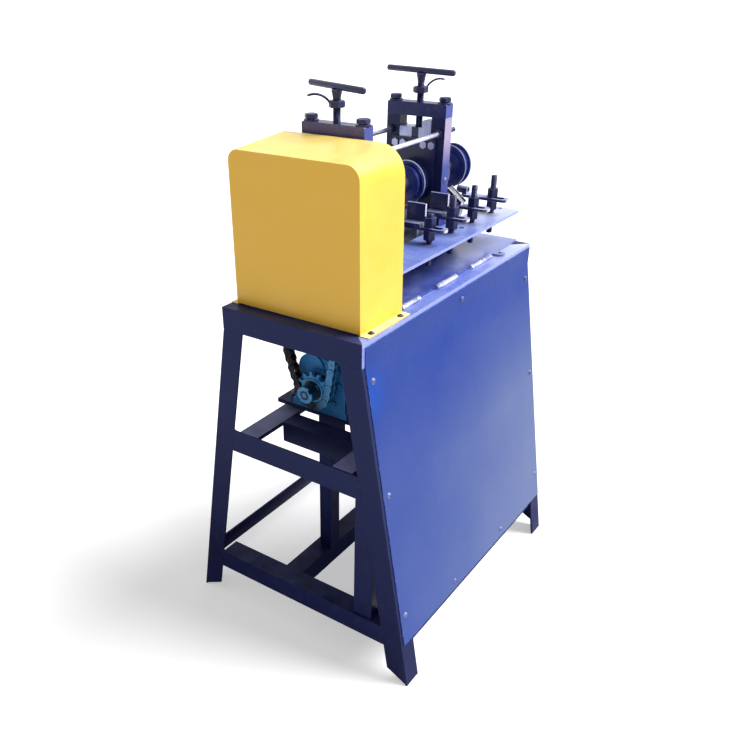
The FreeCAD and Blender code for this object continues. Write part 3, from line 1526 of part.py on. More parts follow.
# Check every object, then write one file for each node
faults = [thing.Name for thing in doc.Objects if {"Invalid", "Error"} & set(thing.State)]
for before, after in cuts:
    if before.Shape.Volume - after.Shape.Volume < 1e-3:
        faults.append(after.Name + " cuts nothing")
for node in nodes:
    if node.Shape.isNull() or not node.Shape.isValid():
        faults.append(node.Label + " has no valid shape")
if faults:
    raise RuntimeError("The model failed: " + ", ".join(faults))
for node in nodes:
    node.Shape.exportStep("parts/%s.step" % node.Label)
spans = [round(span, 2) for span in chain_route.spans]
print("chain slack arc radius", round(chain_route.slack_radius, 1), "spans", spans)
print("nodes", len(nodes))
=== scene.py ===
import math
import random

import bmesh
import bpy
from mathutils import Matrix, Vector


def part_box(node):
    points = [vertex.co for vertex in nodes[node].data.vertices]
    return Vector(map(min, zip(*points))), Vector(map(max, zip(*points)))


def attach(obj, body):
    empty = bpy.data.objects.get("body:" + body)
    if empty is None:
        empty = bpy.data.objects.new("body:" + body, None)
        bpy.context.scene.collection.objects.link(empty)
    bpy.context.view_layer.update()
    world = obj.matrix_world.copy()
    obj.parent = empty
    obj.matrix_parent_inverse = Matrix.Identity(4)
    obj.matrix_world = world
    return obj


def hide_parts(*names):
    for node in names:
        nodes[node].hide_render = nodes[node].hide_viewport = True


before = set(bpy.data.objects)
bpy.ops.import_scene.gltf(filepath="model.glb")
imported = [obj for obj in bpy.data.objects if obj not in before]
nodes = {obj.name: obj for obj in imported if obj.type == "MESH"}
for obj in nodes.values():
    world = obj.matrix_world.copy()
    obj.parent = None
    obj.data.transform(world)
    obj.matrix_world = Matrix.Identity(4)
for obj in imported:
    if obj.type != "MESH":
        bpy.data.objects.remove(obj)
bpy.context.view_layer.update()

scene = bpy.context.scene
scene.view_settings.view_transform = "Standard"
mm = 0.001
print("frame:", len(nodes), "nodes")


def millimetreBox(name):
    low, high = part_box(name)
    return Vector(low) / mm, Vector(high) / mm


def middleOf(name):
    low, high = millimetreBox(name)
    return (low + high) / 2


# Colours are sRGB hex, turned to linear here only
def hexColour(text):
    channels = [int(text[i:i + 2], 16) / 255 for i in (1, 3, 5)]
    return [c / 12.92 if c <= 0.04045 else ((c + 0.055) / 1.055) ** 2.4 for c in channels] + [1.0]


# Adds one shader node and gives one of its outputs. Inputs fill its sockets in order and sockets those named,
# each with a link from another node, a number or a hex colour; options are the node's own
def addNode(tree, kind, *inputs, sockets=None, out=0, **options):
    node = tree.nodes.new("ShaderNode" + kind)
    for name, value in options.items():
        setattr(node, name, value)
    for name, value in {**dict(enumerate(inputs)), **(sockets or {})}.items():
        if isinstance(value, bpy.types.NodeSocket):
            tree.links.new(value, node.inputs[name])
        else:
            node.inputs[name].default_value = hexColour(value) if isinstance(value, str) else value
    return node.outputs[out] if node.outputs else None


# Noise whose patches are size mm across, as a 0 to 1 value squeezed between low and high
def patches(tree, place, size, low=0.35, high=0.65, detail=3.0, stretch=None):
    if stretch:
        place = addNode(tree, "Mapping", sockets={"Vector": place, "Scale": stretch})
    noise = addNode(tree, "TexNoise", sockets={"Vector": place, "Scale": 1 / (size * mm), "Detail": detail})
    return addNode(tree, "MapRange", noise, low, high)


# Lays one colour over another, as thick as all its shares multiplied
def coat(tree, under, over, *shares):
    cover = shares[0]
    for share in shares[1:]:
        cover = addNode(tree, "Math", cover, share, operation="MULTIPLY")
    return addNode(tree, "Mix", cover, data_type="RGBA", sockets={6: under, 7: over}, out=2)


# Which way a surface faces: -1 to 1 along one axis, then 0 to 1 for up, and for either side of the machine
def facing(tree, axis):
    return addNode(tree, "SeparateXYZ", addNode(tree, "NewGeometry", out="Normal"), out=axis)


def upward(tree):
    return addNode(tree, "MapRange", facing(tree, "Z"), 0.3, 0.9)


def tilted(tree, axis):
    return addNode(tree, "Math", facing(tree, axis), operation="ABSOLUTE")


def sideways(tree):
    return addNode(tree, "MapRange", tilted(tree, "Y"), 0.75, 0.97)


# A ramp from 0 to 1 between two places in mm along one axis of the object
def ramp(tree, place, axis, start, end):
    spot = addNode(tree, "SeparateXYZ", place, out=axis)
    return addNode(tree, "MapRange", spot, start * mm, end * mm)


# Distance in metres to either side of a place in mm on one axis
def awayFrom(tree, place, axis, middle):
    spot = addNode(tree, "SeparateXYZ", place, out=axis)
    offset = addNode(tree, "Math", spot, middle * mm, operation="SUBTRACT")
    return addNode(tree, "Math", offset, operation="ABSOLUTE")


# Distance in metres from the axis of a shaft, for what is painted or polished in rings
def shaftRadius(tree, place, shaft):
    offset = addNode(tree, "VectorMath", place, middleOf(shaft) * mm, operation="SUBTRACT")
    flat = addNode(tree, "VectorMath", offset, (0, 1, 1), operation="MULTIPLY")
    return addNode(tree, "VectorMath", flat, operation="LENGTH", out="Value")


# Places where a sharp edge shows through the paint, in patches
edgeWear = dict(radius=1.2, patch=14)


def wornEdges(tree, place):
    bevel = addNode(tree, "Bevel", edgeWear["radius"] * mm, samples=4)
    normal = addNode(tree, "NewGeometry", out="Normal")
    turn = addNode(tree, "VectorMath", bevel, normal, operation="DOT_PRODUCT", out="Value")
    edge = addNode(tree, "MapRange", turn, 0.97, 0.80)
    worn = patches(tree, place, edgeWear["patch"], 0.46, 0.62)
    return addNode(tree, "Math", edge, worn, operation="MULTIPLY")


# Sprayed gloss enamel over hot-rolled steel: deep wet colour, faint orange peel, dust and painted sheen on
# what faces
# up, and a paler line where the film is thin over an edge. An enamel gives what differs from the usual, and
# may add:
#   along, down    painted light and shade: the colour goes from deep to full along X and down Z
#   glow           a lit spot: its place and reach in mm, its strength and colour
#   foot           a painted highlight: the colour of what faces up on a screwed-down flange
#   endShading     painted shading: the colour of faces towards the cover end, as far as the given X
#   rise           a colour that comes in between two heights and stops at a third
#   slantHighlight a painted highlight: the colour of lifted faces tilted across the machine
#   sides, inner   painted light on outer and inner side faces from sidesAbove upwards: sides a painted reflection, inner a painted shade on the bearing plates and a painted reflection on the straps
#   sideReflection the colour of a painted reflection on the upper front side faces
usualEnamel = dict(edge="#8088b4", gloss=0.24, dustAndSheen=0.5, wear=0.7, waves=0.5, peel=0.012, shine=0.5,
    mottle=0.25, drift=160, dustAndSheenFrom=0.35, sidesAbove=0)
# Frame, rails and straps: much of their pale up-facing colour is painted sheen on lit tops as well as dust
frameLook = dict(deep="#0e143e", full="#161d4c", pale="#4a5080", edge="#7580b0", gloss=0.30, dustAndSheen=0.8,
    wear=0.5, shine=0.07, mottle=0.08, rise=(120, 480, 1000, "#262d56"))
strapLook = dict(deep="#141d50", full="#1d2760", pale="#b3bbe6", edge="#dadff6", dustAndSheen=1.0, wear=1.0,
    waves=0.3, dustAndSheenFrom=0.05, sides="#d5d3ea", inner="#d5d3ea")
enamels = dict(
    frameEnamel=frameLook,
    railEnamel=dict(frameLook, pale="#b4bbe8", edge="#9aa0c4", dustAndSheen=1.0, dustAndSheenFrom=-0.2),
    screwEnamel=dict(deep="#46528f", full="#6a74a8", pale="#b9bfe0", edge="#d5d9f0", gloss=0.2, dustAndSheen=0.3,
        wear=0.9, waves=0.1, peel=0.01, shine=0.6, rise=(640, 650, 700, "#1d1a24")),
    headEnamel=dict(deep="#111845", full="#182053", pale="#3a4582", dustAndSheen=0.25, waves=0.4, shine=0.25,
        sides="#3a4796", sideReflection="#b5a6c0", inner="#060a26", endShading=(-60, "#393a7a")),
    capEnamel=dict(deep="#1a225e", full="#242d6a", pale="#6d6076", dustAndSheen=0.25, waves=0.4, shine=0.3,
        sides="#4450a0", endShading=(-60, "#5d598e")),
    # The along and down gradients below are painted light: painted shade towards deep, painted reflection
    # towards full
    panelEnamel=dict(deep="#15358a", full="#626f98", pale="#6478b4", edge="#a9b6ea", gloss=0.2, dustAndSheen=0.45,
        wear=0.6, peel=0.004, shine=0.03, mottle=0.04, drift=330, along=(-340, 250), down=(570, 370),
        glow=((-292, -119, 560), (62, 8), 0.55, "#1f5cc4")),
    tableEnamel=dict(deep="#2b3f93", full="#8f9ac8", pale="#7a85bc", edge="#c3caec", gloss=0.14, wear=0.8,
        waves=0.8, shine=0.6, drift=220, along=(40, 330)),
    feedEnamel=dict(deep="#4964c6", full="#dfe4fa", pale="#a2b0e2", edge="#eceffc", gloss=0.2, wear=1.0,
        along=(80, 310), sides="#8b98da", sidesAbove=643),
    strapEnamel=strapLook,
    chuteEnamel=dict(strapLook, slantHighlight="#ece7cf"),
    coverEnamel=dict(deep="#ecc036", full="#f4cb3f", pale="#fbe58a", edge="#fbe9a8", gloss=0.3, dustAndSheen=0.9,
        wear=0.5, waves=0.8, shine=0.6, dustAndSheenFrom=-0.1, mottle=0.12, foot="#fff3c4", endShading=(-100, "#e4b32b")),
    motorEnamel=dict(deep="#1a64a2", full="#2b86c8", pale="#5aa6d6", edge="#86b9da", gloss=0.34, dustAndSheen=0.3,
        wear=0.4, waves=0.8, peel=0.05, shine=0.35),
    hardwareEnamel=dict(deep="#0f1440", full="#171d4e", pale="#4a5596", edge="#8087b8", gloss=0.28,
        waves=0.1, peel=0.02, shine=0.4))
# In mm: the sizes of the patches, the height of the cover's foot, where side faces count as outer ones from
# the shafts' axis, and the height and Y over which the front ones carry a painted reflection
sprayPlaces = dict(fleck=22, dustAndSheenPatch=60, glossPatch=45, dent=70, peelGrain=2.5, foot=(664, 656),
    endShadingFade=20, outer=(44, 48), sideReflectionUp=(815, 865), sideReflectionOut=(0, -10))
shaftY = middleOf("upper_shaft").y


def sprayedEnamel(tree, place, own):
    look = {**usualEnamel, **own}
    drift = patches(tree, place, look["drift"])
    # along and down mix a painted light gradient into the tone: painted shade at deep, painted reflection at
    # full
    if "along" in look:
        slope = ramp(tree, place, "X", *look["along"])
        if "down" in look:
            fall = ramp(tree, place, "Z", *look["down"])
            lower = addNode(tree, "MapRange", fall, 0, 1, 0.25)
            slope = addNode(tree, "Math", slope, lower, operation="MULTIPLY")
            slope = addNode(tree, "Mix", 0.25, sockets={2: slope, 3: fall})
        drift = addNode(tree, "Mix", 0.2, sockets={2: slope, 3: drift})
    film = coat(tree, look["deep"], look["full"], drift)
    fleck = patches(tree, place, sprayPlaces["fleck"], 0.5, 0.8)
    film = coat(tree, film, look["pale"], fleck, look["mottle"])
    if "glow" in look:
        spot, (start, end), strength, colour = look["glow"]
        away = addNode(tree, "VectorMath", place, Vector(spot) * mm, operation="DISTANCE", out="Value")
        near = addNode(tree, "MapRange", away, start * mm, end * mm, 0, strength)
        film = coat(tree, film, colour, near)
    # foot: a painted highlight on the upward faces of the cover's flange
    if "foot" in look:
        film = coat(tree, film, look["foot"], upward(tree), ramp(tree, place, "Z", *sprayPlaces["foot"]))
    # Painted shading: faces towards the cover end get their own colour as far as the given X
    if "endShading" in look:
        until, colour = look["endShading"]
        back = addNode(tree, "MapRange", facing(tree, "X"), -0.8, -0.98)
        film = coat(tree, film, colour, back, ramp(tree, place, "X", until + sprayPlaces["endShadingFade"], until))
    if "rise" in look:
        start, end, stop, colour = look["rise"]
        below = ramp(tree, place, "Z", stop + 1, stop)
        film = coat(tree, film, colour, ramp(tree, place, "Z", start, end), below)
    # Painted highlight on the chute's lifted faces tilted across the machine
    if "slantHighlight" in look:
        across = addNode(tree, "Math", tilted(tree, "X"), 0.25, operation="GREATER_THAN")
        lifted = addNode(tree, "Math", facing(tree, "Z"), 0.25, operation="GREATER_THAN")
        film = coat(tree, film, look["slantHighlight"], across, lifted)
    # Dust and painted sheen: upward faces take the pale colour, partly dust and partly painted light on tops
    dustAndSheen = patches(tree, place, sprayPlaces["dustAndSheenPatch"], look["dustAndSheenFrom"], 0.75, 5.0)
    film = coat(tree, film, look["pale"], upward(tree), dustAndSheen, look["dustAndSheen"])
    # Painted light on the side faces across the machine: painted reflection on the outer ones; the inner ones
    # get painted shade on the bearing plates and painted reflection on the straps
    if "sides" in look:
        away = awayFrom(tree, place, "Y", shaftY)
        start, end = sprayPlaces["outer"]
        outer = addNode(tree, "MapRange", away, start * mm, end * mm)
        above = ramp(tree, place, "Z", look["sidesAbove"], look["sidesAbove"] + 1)
        if "inner" in look:
            film = coat(tree, film, look["inner"], sideways(tree), 0.7)
        film = coat(tree, film, look["sides"], sideways(tree), outer, above, 0.9)
        # Painted reflection: a pinkish-lilac band on the upper front side faces of the bearing plates
        if "sideReflection" in look:
            high = ramp(tree, place, "Z", *sprayPlaces["sideReflectionUp"])
            front = ramp(tree, place, "Y", *sprayPlaces["sideReflectionOut"])
            film = coat(tree, film, look["sideReflection"], sideways(tree), outer, high, front, 0.8)
    film = coat(tree, film, look["edge"], wornEdges(tree, place), look["wear"])
    gloss = addNode(tree, "MapRange", patches(tree, place, sprayPlaces["glossPatch"]), 0, 1, look["gloss"],
                    look["gloss"] + 0.16)
    dents, grain = (patches(tree, place, sprayPlaces[key], 0.2, 0.8, 1.0) for key in ("dent", "peelGrain"))
    bent = addNode(tree, "Bump", sockets={"Height": dents, "Distance": look["waves"] * mm})
    peel = addNode(tree, "Bump", sockets={"Height": grain, "Distance": look["peel"] * mm, "Normal": bent})
    return {"IOR": 1.5, "Specular IOR Level": look["shine"], "Base Color": film, "Roughness": gloss,
            "Normal": peel}


# Bare metal: turned, ground, drawn or plated. Its grain is stretched along the way it was worked, and stain
# says how much of it an oily or dull film covers
bareMetals = dict(
    turnedSteel=dict(deep="#8d9098", full="#a7abb4", film="#5b5a60", stain=0.4, grain=0.8,
        lay=(1, 0.05, 0.05), rough=0.28, cut=0.01),
    oiledChainSteel=dict(deep="#2c2b2d", full="#4a484a", film="#1b1815", stain=0.8, grain=1.5, lay=(1, 1, 1),
        rough=0.34, cut=0.02),
    zincPlate=dict(deep="#b4b7bf", full="#d2d4da", film="#8f9098", stain=0.3, grain=0.6, lay=(1, 1, 1),
        rough=0.24, cut=0.006),
    brightRod=dict(deep="#d4d8ee", full="#eef0fc", film="#aab0cc", stain=0.15, grain=0.5, lay=(0.05, 1, 1),
        rough=0.3, cut=0.002),
    weldMetal=dict(deep="#7f84ac", full="#b2b6d6", film="#5d628e", stain=0.6, grain=1.2, lay=(1, 1, 1),
        rough=0.48, cut=0.02),
    turnedBronze=dict(deep="#8a6a35", full="#a68145", film="#5a4020", stain=0.4, grain=0.8,
        lay=(1, 0.05, 0.05), rough=0.32, cut=0.01))
metalPatches = dict(tone=18, film=6)


def bareMetal(tree, place, look):
    colour = coat(tree, look["deep"], look["full"], patches(tree, place, metalPatches["tone"]))
    film = patches(tree, place, metalPatches["film"], 0.55, 0.8)
    colour = coat(tree, colour, look["film"], film, look["stain"])
    grain = patches(tree, place, look["grain"], 0.3, 0.7, 2.0, look["lay"])
    rough = addNode(tree, "MapRange", grain, 0, 1, look["rough"], look["rough"] + 0.18)
    cut = addNode(tree, "Bump", sockets={"Height": grain, "Distance": look["cut"] * mm})
    return {"Metallic": 1.0, "Base Color": colour, "Roughness": rough, "Normal": cut}


# Hubs and blades: enamel in the middle and bright steel past the given radius in mm, all finely turned. The
# turned rings are drawn 1.2 mm apart, coarser than a lathe leaves them, to show at all
turnedRings = dict(
    hubEnamel=dict(radius=38.6, deep="#1d2868", full="#2f3d88", polished="#8f95ba"),
    bladeSteel=dict(radius=36.4, deep="#1a2460", full="#2b3880", polished="#a2a8c8"))
ringCut = dict(spacing=1.2, depth=0.02, fade=0.3, patch=24)


def rubbedRing(tree, place, look):
    reach = shaftRadius(tree, place, "upper_shaft")
    bare = addNode(tree, "MapRange", reach, (look["radius"] - ringCut["fade"]) * mm,
                   (look["radius"] + ringCut["fade"]) * mm)
    film = coat(tree, look["deep"], look["full"], patches(tree, place, ringCut["patch"]))
    film = coat(tree, film, look["polished"], bare)
    perRing = 2 * math.pi / (ringCut["spacing"] * mm)
    wave = addNode(tree, "Math", reach, perRing, operation="MULTIPLY")
    wave = addNode(tree, "Math", wave, operation="SINE")
    cut = addNode(tree, "Bump", sockets={"Height": wave, "Distance": ringCut["depth"] * mm})
    return {"Specular IOR Level": 0.5, "Roughness": 0.26, "Base Color": film, "Metallic": bare,
            "Normal": cut}


# Bearing blocks: milled steel, their keeper plates painted, a painted shade where the slot between them lies,
# the bolts left bright.
# Plates and bolts are told by their distance in mm from the bearing plate's middle, the slot's shade from the
# axis
blocks = dict(nearBlockSteel="near_bearing_plate", farBlockSteel="far_bearing_plate")
keeper = dict(plateFrom=12.95, boltFrom=15.9, slot=(7.2, 6.6), milling=0.9, patch=30,
    steel=("#8f97bd", "#b9bfde"), paint=("#10173f", "#182050"), metallic=0.85)


def keeperSteel(tree, place, plate):
    away = awayFrom(tree, place, "X", middleOf(plate).x)
    past = addNode(tree, "Math", away, keeper["plateFrom"] * mm, operation="GREATER_THAN")
    bolts = addNode(tree, "Math", away, keeper["boltFrom"] * mm, operation="GREATER_THAN")
    plates = addNode(tree, "Math", past, bolts, operation="SUBTRACT")
    start, end = keeper["slot"]
    # Painted shade: a dark band down the middle stands in for the slot the spindle passes through
    slot = addNode(tree, "MapRange", awayFrom(tree, place, "Y", shaftY), start * mm, end * mm)
    paintedOrShaded = addNode(tree, "Math", plates, slot, operation="MAXIMUM")
    milling = patches(tree, place, keeper["milling"], 0.3, 0.7, 2.0, (1, 1, 0.06))
    milled = coat(tree, *keeper["steel"], milling)
    # The paint colours serve both the keeper plates and the painted slot shade
    painted = coat(tree, *keeper["paint"], patches(tree, place, keeper["patch"]))
    metal = addNode(tree, "MapRange", paintedOrShaded, 0, 1, keeper["metallic"], 0.0)
    return {"Roughness": 0.32, "Base Color": coat(tree, milled, painted, paintedOrShaded), "Metallic": metal}


# Output shaft and its sprocket, blue like the motor, with painted shade between two radii, and on the flanks
# by a share
driveColours = dict(
    blueShaft=dict(inner=4.5, outer=9, flanks=0.9),
    blueSprocket=dict(inner=5, outer=19, flanks=0.0))
driveTones = dict(deep="#2477b4", full="#4aa0d8", shade="#0c1622", patch=8)


def blueDrive(tree, place, look):
    reach = shaftRadius(tree, place, "output_shaft")
    above = addNode(tree, "Math", reach, look["inner"] * mm, operation="GREATER_THAN")
    below = addNode(tree, "Math", reach, look["outer"] * mm, operation="LESS_THAN")
    film = coat(tree, driveTones["deep"], driveTones["full"], patches(tree, place, driveTones["patch"]))
    # Painted shade: a dark ring between the two radii and dark flanks where the shaft's side and the
    # sprocket's gap lie in shade
    film = coat(tree, film, driveTones["shade"], above, below)
    flank = addNode(tree, "MapRange", tilted(tree, "X"), 0.3, 0.1, 0, look["flanks"])
    film = coat(tree, film, driveTones["shade"], flank)
    return {"Roughness": 0.4, "Specular IOR Level": 0.4, "Base Color": film}


# Chain: oiled steel, with a painted blue reflection on its front run, between places in mm
chainTonesAndReflection = dict(deep="#1d1c20", full="#3c3b40", frontReflection="#3b8cc4", patch=5, front=(16, -12),
    below=(640, 580), cover=0.85, metallic=(0.8, 0.15))


def reflectingChain(tree, place, look):
    steel = coat(tree, look["deep"], look["full"], patches(tree, place, look["patch"]))
    # Painted reflection: the front run is tinted blue and made less metallic
    front = addNode(tree, "Math", ramp(tree, place, "Y", *look["front"]),
                    ramp(tree, place, "Z", *look["below"]), operation="MULTIPLY")
    bare, frontMetal = look["metallic"]
    metal = addNode(tree, "MapRange", front, 0, 1, bare, frontMetal)
    colour = coat(tree, steel, look["frontReflection"], front, look["cover"])
    return {"Roughness": 0.42, "Base Color": colour, "Metallic": metal}


# Moulded black nylon: even and slightly grained
nylonLook = dict(deep="#141416", full="#1d1d20", patch=9, grain=0.8, depth=0.03)


def mouldedNylon(tree, place, look):
    colour = coat(tree, look["deep"], look["full"], patches(tree, place, look["patch"]))
    grain = patches(tree, place, look["grain"], 0.3, 0.7, 1.0)
    bump = addNode(tree, "Bump", sockets={"Height": grain, "Distance": look["depth"] * mm})
    return {"Roughness": 0.45, "Base Color": colour, "Normal": bump}


def newMaterial(name):
    material = bpy.data.materials.new(name)
    material.use_nodes = True
    material.node_tree.nodes.clear()
    return material, material.node_tree


def makeMaterial(name, surface, look):
    material, tree = newMaterial(name)
    place = addNode(tree, "TexCoord", out="Object")
    shader = addNode(tree, "BsdfPrincipled", sockets=surface(tree, place, look))
    addNode(tree, "OutputMaterial", shader)
    return material


surfaces = {sprayedEnamel: enamels, bareMetal: bareMetals, rubbedRing: turnedRings, keeperSteel: blocks,
            blueDrive: driveColours, reflectingChain: {"reflectingChain": chainTonesAndReflection},
            mouldedNylon: {"mouldedNylon": nylonLook}}
materials = {name: makeMaterial(name, surface, look)
             for surface, looks in surfaces.items() for name, look in looks.items()}
finishOf = dict(
    coverEnamel=["gear_cover"],
    panelEnamel=["front_panel"],
    tableEnamel=["table_sheet"],
    feedEnamel=["feed_plate", "top_front_rail"],
    strapEnamel=["guide_strap_1", "guide_strap_2", "guide_strap_4"],
    chuteEnamel=["guide_strap_3"],
    railEnamel=["mid_long_rails"],
    headEnamel=["near_bearing_plate", "far_bearing_plate"],
    capEnamel=["bearing_caps"],
    hubEnamel=["disc_hubs"],
    bladeSteel=["cutting_discs"],
    motorEnamel=["motor", "gear_case", "terminal_box"],
    blueShaft=["output_shaft"],
    blueSprocket=["drive_sprocket"],
    nearBlockSteel=["near_block"],
    farBlockSteel=["far_block"],
    turnedSteel=["upper_shaft", "lower_shaft", "feed_rollers"],
    oiledChainSteel=["driven_sprocket", "upper_gear", "lower_gear"],
    turnedBronze=["lower_bushes"])
finishByNode = {node: finish for finish, members in finishOf.items() for node in members}
for name, thing in nodes.items():
    thing.data.materials.clear()
    thing.data.materials.append(materials[finishByNode.get(name, "frameEnamel")])
print("materials:", len(materials))

# Camera, at the photograph's place: millimetres, degrees and pixels of a 750 px wide frame
view = dict(place=(-1213.22, -731.16, 1129.20), azimuth=-53.14, elevation=32.26, roll=-0.99,
    focalPixels=795.75, axisPixel=(314.89, 464.09), frame=750, sensor=36)


def makeCamera():
    a, e, r = (math.radians(view[key]) for key in ("azimuth", "elevation", "roll"))
    forward = Vector((-math.sin(a) * math.cos(e), math.cos(a) * math.cos(e), -math.sin(e)))
    level = Vector((math.cos(a), math.sin(a), 0))
    up = level.cross(forward)
    right = math.cos(r) * level + math.sin(r) * up
    top = math.cos(r) * up - math.sin(r) * level
    data = bpy.data.cameras.new("photoCamera")
    data.sensor_width = view["sensor"]
    data.lens = view["focalPixels"] / view["frame"] * view["sensor"]
    data.shift_x = 0.5 - view["axisPixel"][0] / view["frame"]
    data.shift_y = view["axisPixel"][1] / view["frame"] - 0.5
    camera = bpy.data.objects.new("photoCamera", data)
    scene.collection.objects.link(camera)
    turn = Matrix((right, top, -forward)).transposed().to_4x4()
    camera.matrix_world = Matrix.Translation(Vector(view["place"]) * mm) @ turn
    scene.camera = camera


# White floor that keeps a soft shadow, a broad sun for the key, a warm weak one from the left, an even sky
studio = dict(floorSize=60.0, floorColour="#e6e6e8", floorLift=0.42, skyLevel=0.31)
suns = dict(
    softKey=dict(level=4.9, source=(0.42, -0.55, 0.73), spread=38, colour="#ffffff"),
    warmSide=dict(level=0.17, source=(-0.92, -0.1, 0.38), spread=60, colour="#ffdfb8"))


def makeFloor():
    material, tree = newMaterial("paleFloor")
    ray = addNode(tree, "LightPath", out="Is Camera Ray")
    level = addNode(tree, "Math", ray, studio["floorLift"], operation="MULTIPLY")
    matt = addNode(tree, "BsdfDiffuse", studio["floorColour"])
    both = addNode(tree, "AddShader", matt, addNode(tree, "Emission", sockets={"Strength": level}))
    addNode(tree, "OutputMaterial", both)
    half = studio["floorSize"] / 2
    corners = [(-half, -half, 0), (half, -half, 0), (half, half, 0), (-half, half, 0)]
    mesh = bpy.data.meshes.new("floor")
    mesh.from_pydata(corners, [], [(0, 1, 2, 3)])
    mesh.materials.append(material)
    floor = bpy.data.objects.new("floor", mesh)
    scene.collection.objects.link(floor)


# The sky looks white, also in metal and glass, and lights the object less than it looks
def makeSky():
    scene.world = bpy.data.worlds.new("studioSky")
    scene.world.use_nodes = True
    tree = scene.world.node_tree
    tree.nodes.clear()
    rays = addNode(tree, "LightPath").node.outputs
    seen = addNode(tree, "Math", rays["Is Camera Ray"], rays["Is Glossy Ray"], operation="ADD")
    seen = addNode(tree, "Math", seen, rays["Is Transmission Ray"], operation="ADD", use_clamp=True)
    level = addNode(tree, "MapRange", seen, 0, 1, studio["skyLevel"], 1.0)
    sky = addNode(tree, "Background", (1, 1, 1, 1), level)
    addNode(tree, "OutputWorld", sky)


def addSun(name, look):
    lamp = bpy.data.lights.new(name, "SUN")
    lamp.energy = look["level"]
    lamp.angle = math.radians(look["spread"])
    lamp.color = hexColour(look["colour"])[:3]
    sun = bpy.data.objects.new(name, lamp)
    sun.rotation_euler = Vector(look["source"]).to_track_quat("Z", "Y").to_euler()
    scene.collection.objects.link(sun)


makeCamera()
makeFloor()
makeSky()
for name, look in suns.items():
    addSun(name, look)
print("camera and studio ready")


# Mesh tools. Shapes are made in millimetres along their own +Z and set in place by a matrix
def angles(count, turn=0.0):
    return [turn + 2 * math.pi * i / count for i in range(count)]


def around(radius, turn, height):
    return radius * math.cos(turn), radius * math.sin(turn), height


def ring(radius, height, sides=24, turn=0.0):
    return [around(radius, t, height) for t in angles(sides, turn)]


# A skin over rings of equally many points, capped at both ends or closed on itself
def skin(shape, rings, place=None, closed=False):
    place = place or Matrix()
    made = [[shape.verts.new(place @ Vector(point)) for point in points] for points in rings]
    pairs = list(zip(made, made[1:]))
    if closed:
        pairs.append((made[-1], made[0]))
    for low, high in pairs:
        for i in range(len(low)):
            j = (i + 1) % len(low)
            shape.faces.new((low[i], low[j], high[j], high[i]))
    if not closed:
        shape.faces.new(list(reversed(made[0])))
        shape.faces.new(made[-1])


# A turned shape from pairs of radius and height
def turned(shape, profile, place=None, sides=24, closed=False):
    skin(shape, [ring(radius, height, sides) for radius, height in profile], place, closed)


def standing(x, y, z, turn=0.0):
    return Matrix.Translation((x, y, z)) @ Matrix.Rotation(turn, 4, "Z")


# A frame whose own +Z points along the given way, its own +X as near as can be to flat
def pointing(spot, way):
    z = Vector(way).normalized()
    x = Vector((0, 0, 1)).cross(z)
    x = x.normalized() if x.length > 0.01 else Vector((1, 0, 0))
    turn = Matrix((x, z.cross(x), z)).transposed().to_4x4()
    return Matrix.Translation(spot) @ turn


def makePiece(name, shape, finish, body, replaced=(), crease=35):
    mesh = bpy.data.meshes.new(name)
    for vertex in shape.verts:
        vertex.co *= mm
    shape.to_mesh(mesh)
    shape.free()
    mesh.shade_smooth()
    mesh.set_sharp_from_angle(angle=math.radians(crease))
    mesh.materials.append(materials[finish])
    piece = bpy.data.objects.new(name, mesh)
    scene.collection.objects.link(piece)
    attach(piece, body)
    if replaced:
        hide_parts(*replaced)


# The loose solids of a CAD node in millimetres: the corners of each, and the heading of its largest flat
def solidsOf(name):
    shape = bmesh.new()
    shape.from_mesh(nodes[name].data)
    bmesh.ops.remove_doubles(shape, verts=shape.verts, dist=0.005 * mm)
    solids = []
    for seed in shape.faces:
        if seed.tag:
            continue
        seed.tag = True
        island = [seed]
        for face in island:
            for edge in face.edges:
                for near in edge.link_faces:
                    if not near.tag:
                        near.tag = True
                        island.append(near)
        points = [vertex.co / mm for face in island for vertex in face.verts]
        low = Vector([min(p[i] for p in points) for i in range(3)])
        high = Vector([max(p[i] for p in points) for i in range(3)])
        flats = {}
        for face in island:
            key = tuple(round(c, 2) for c in face.normal)
            flats[key] = flats.get(key, 0) + face.calc_area()
        solids.append({"low": low, "high": high, "middle": (low + high) / 2, "size": high - low,
                       "flat": Vector(max(flats, key=flats.get))})
    shape.free()
    return solids


# Nuts and bolt heads: six flats whose corners are cut by a 30 degree cone, edged bores, a dished head
hexagonLook = dict(faceShare=0.95, chamferSlope=math.tan(math.radians(30)), boreEdge=0.06, dish=(0.34, 0.31),
    dishDepth=0.4, washerEdge=0.25, washerSides=32)


def hexagonRings(across, height):
    face = across / 2 * hexagonLook["faceShare"]
    low, high = [], []
    for t in angles(24):
        lean = (t + math.pi / 6) % (math.pi / 3) - math.pi / 6
        reach = across / 2 / math.cos(lean)
        drop = max(0.0, reach - face) * hexagonLook["chamferSlope"]
        low.append(around(reach, t, drop))
        high.append(around(reach, t, height - drop))
    return [ring(face, 0), low, high, ring(face, height)]


def addNut(shape, across, height, bore, place):
    edge = bore * hexagonLook["boreEdge"]
    inner = [(bore / 2 + edge, height), (bore / 2, height - edge), (bore / 2, edge), (bore / 2 + edge, 0)]
    skin(shape, hexagonRings(across, height) + [ring(*step) for step in inner], place, True)


def addBoltHead(shape, across, height, place):
    wide, narrow = hexagonLook["dish"]
    dish = [ring(across * wide, height), ring(across * narrow, height - hexagonLook["dishDepth"])]
    skin(shape, hexagonRings(across, height) + dish, place)


def addWasher(shape, width, bore, thick, place):
    rim, hole, edge = width / 2, bore / 2, hexagonLook["washerEdge"]
    profile = [(rim - edge, 0), (rim, edge), (rim, thick - edge), (rim - edge, thick),
               (hole, thick), (hole, 0)]
    turned(shape, profile, place, hexagonLook["washerSides"], True)


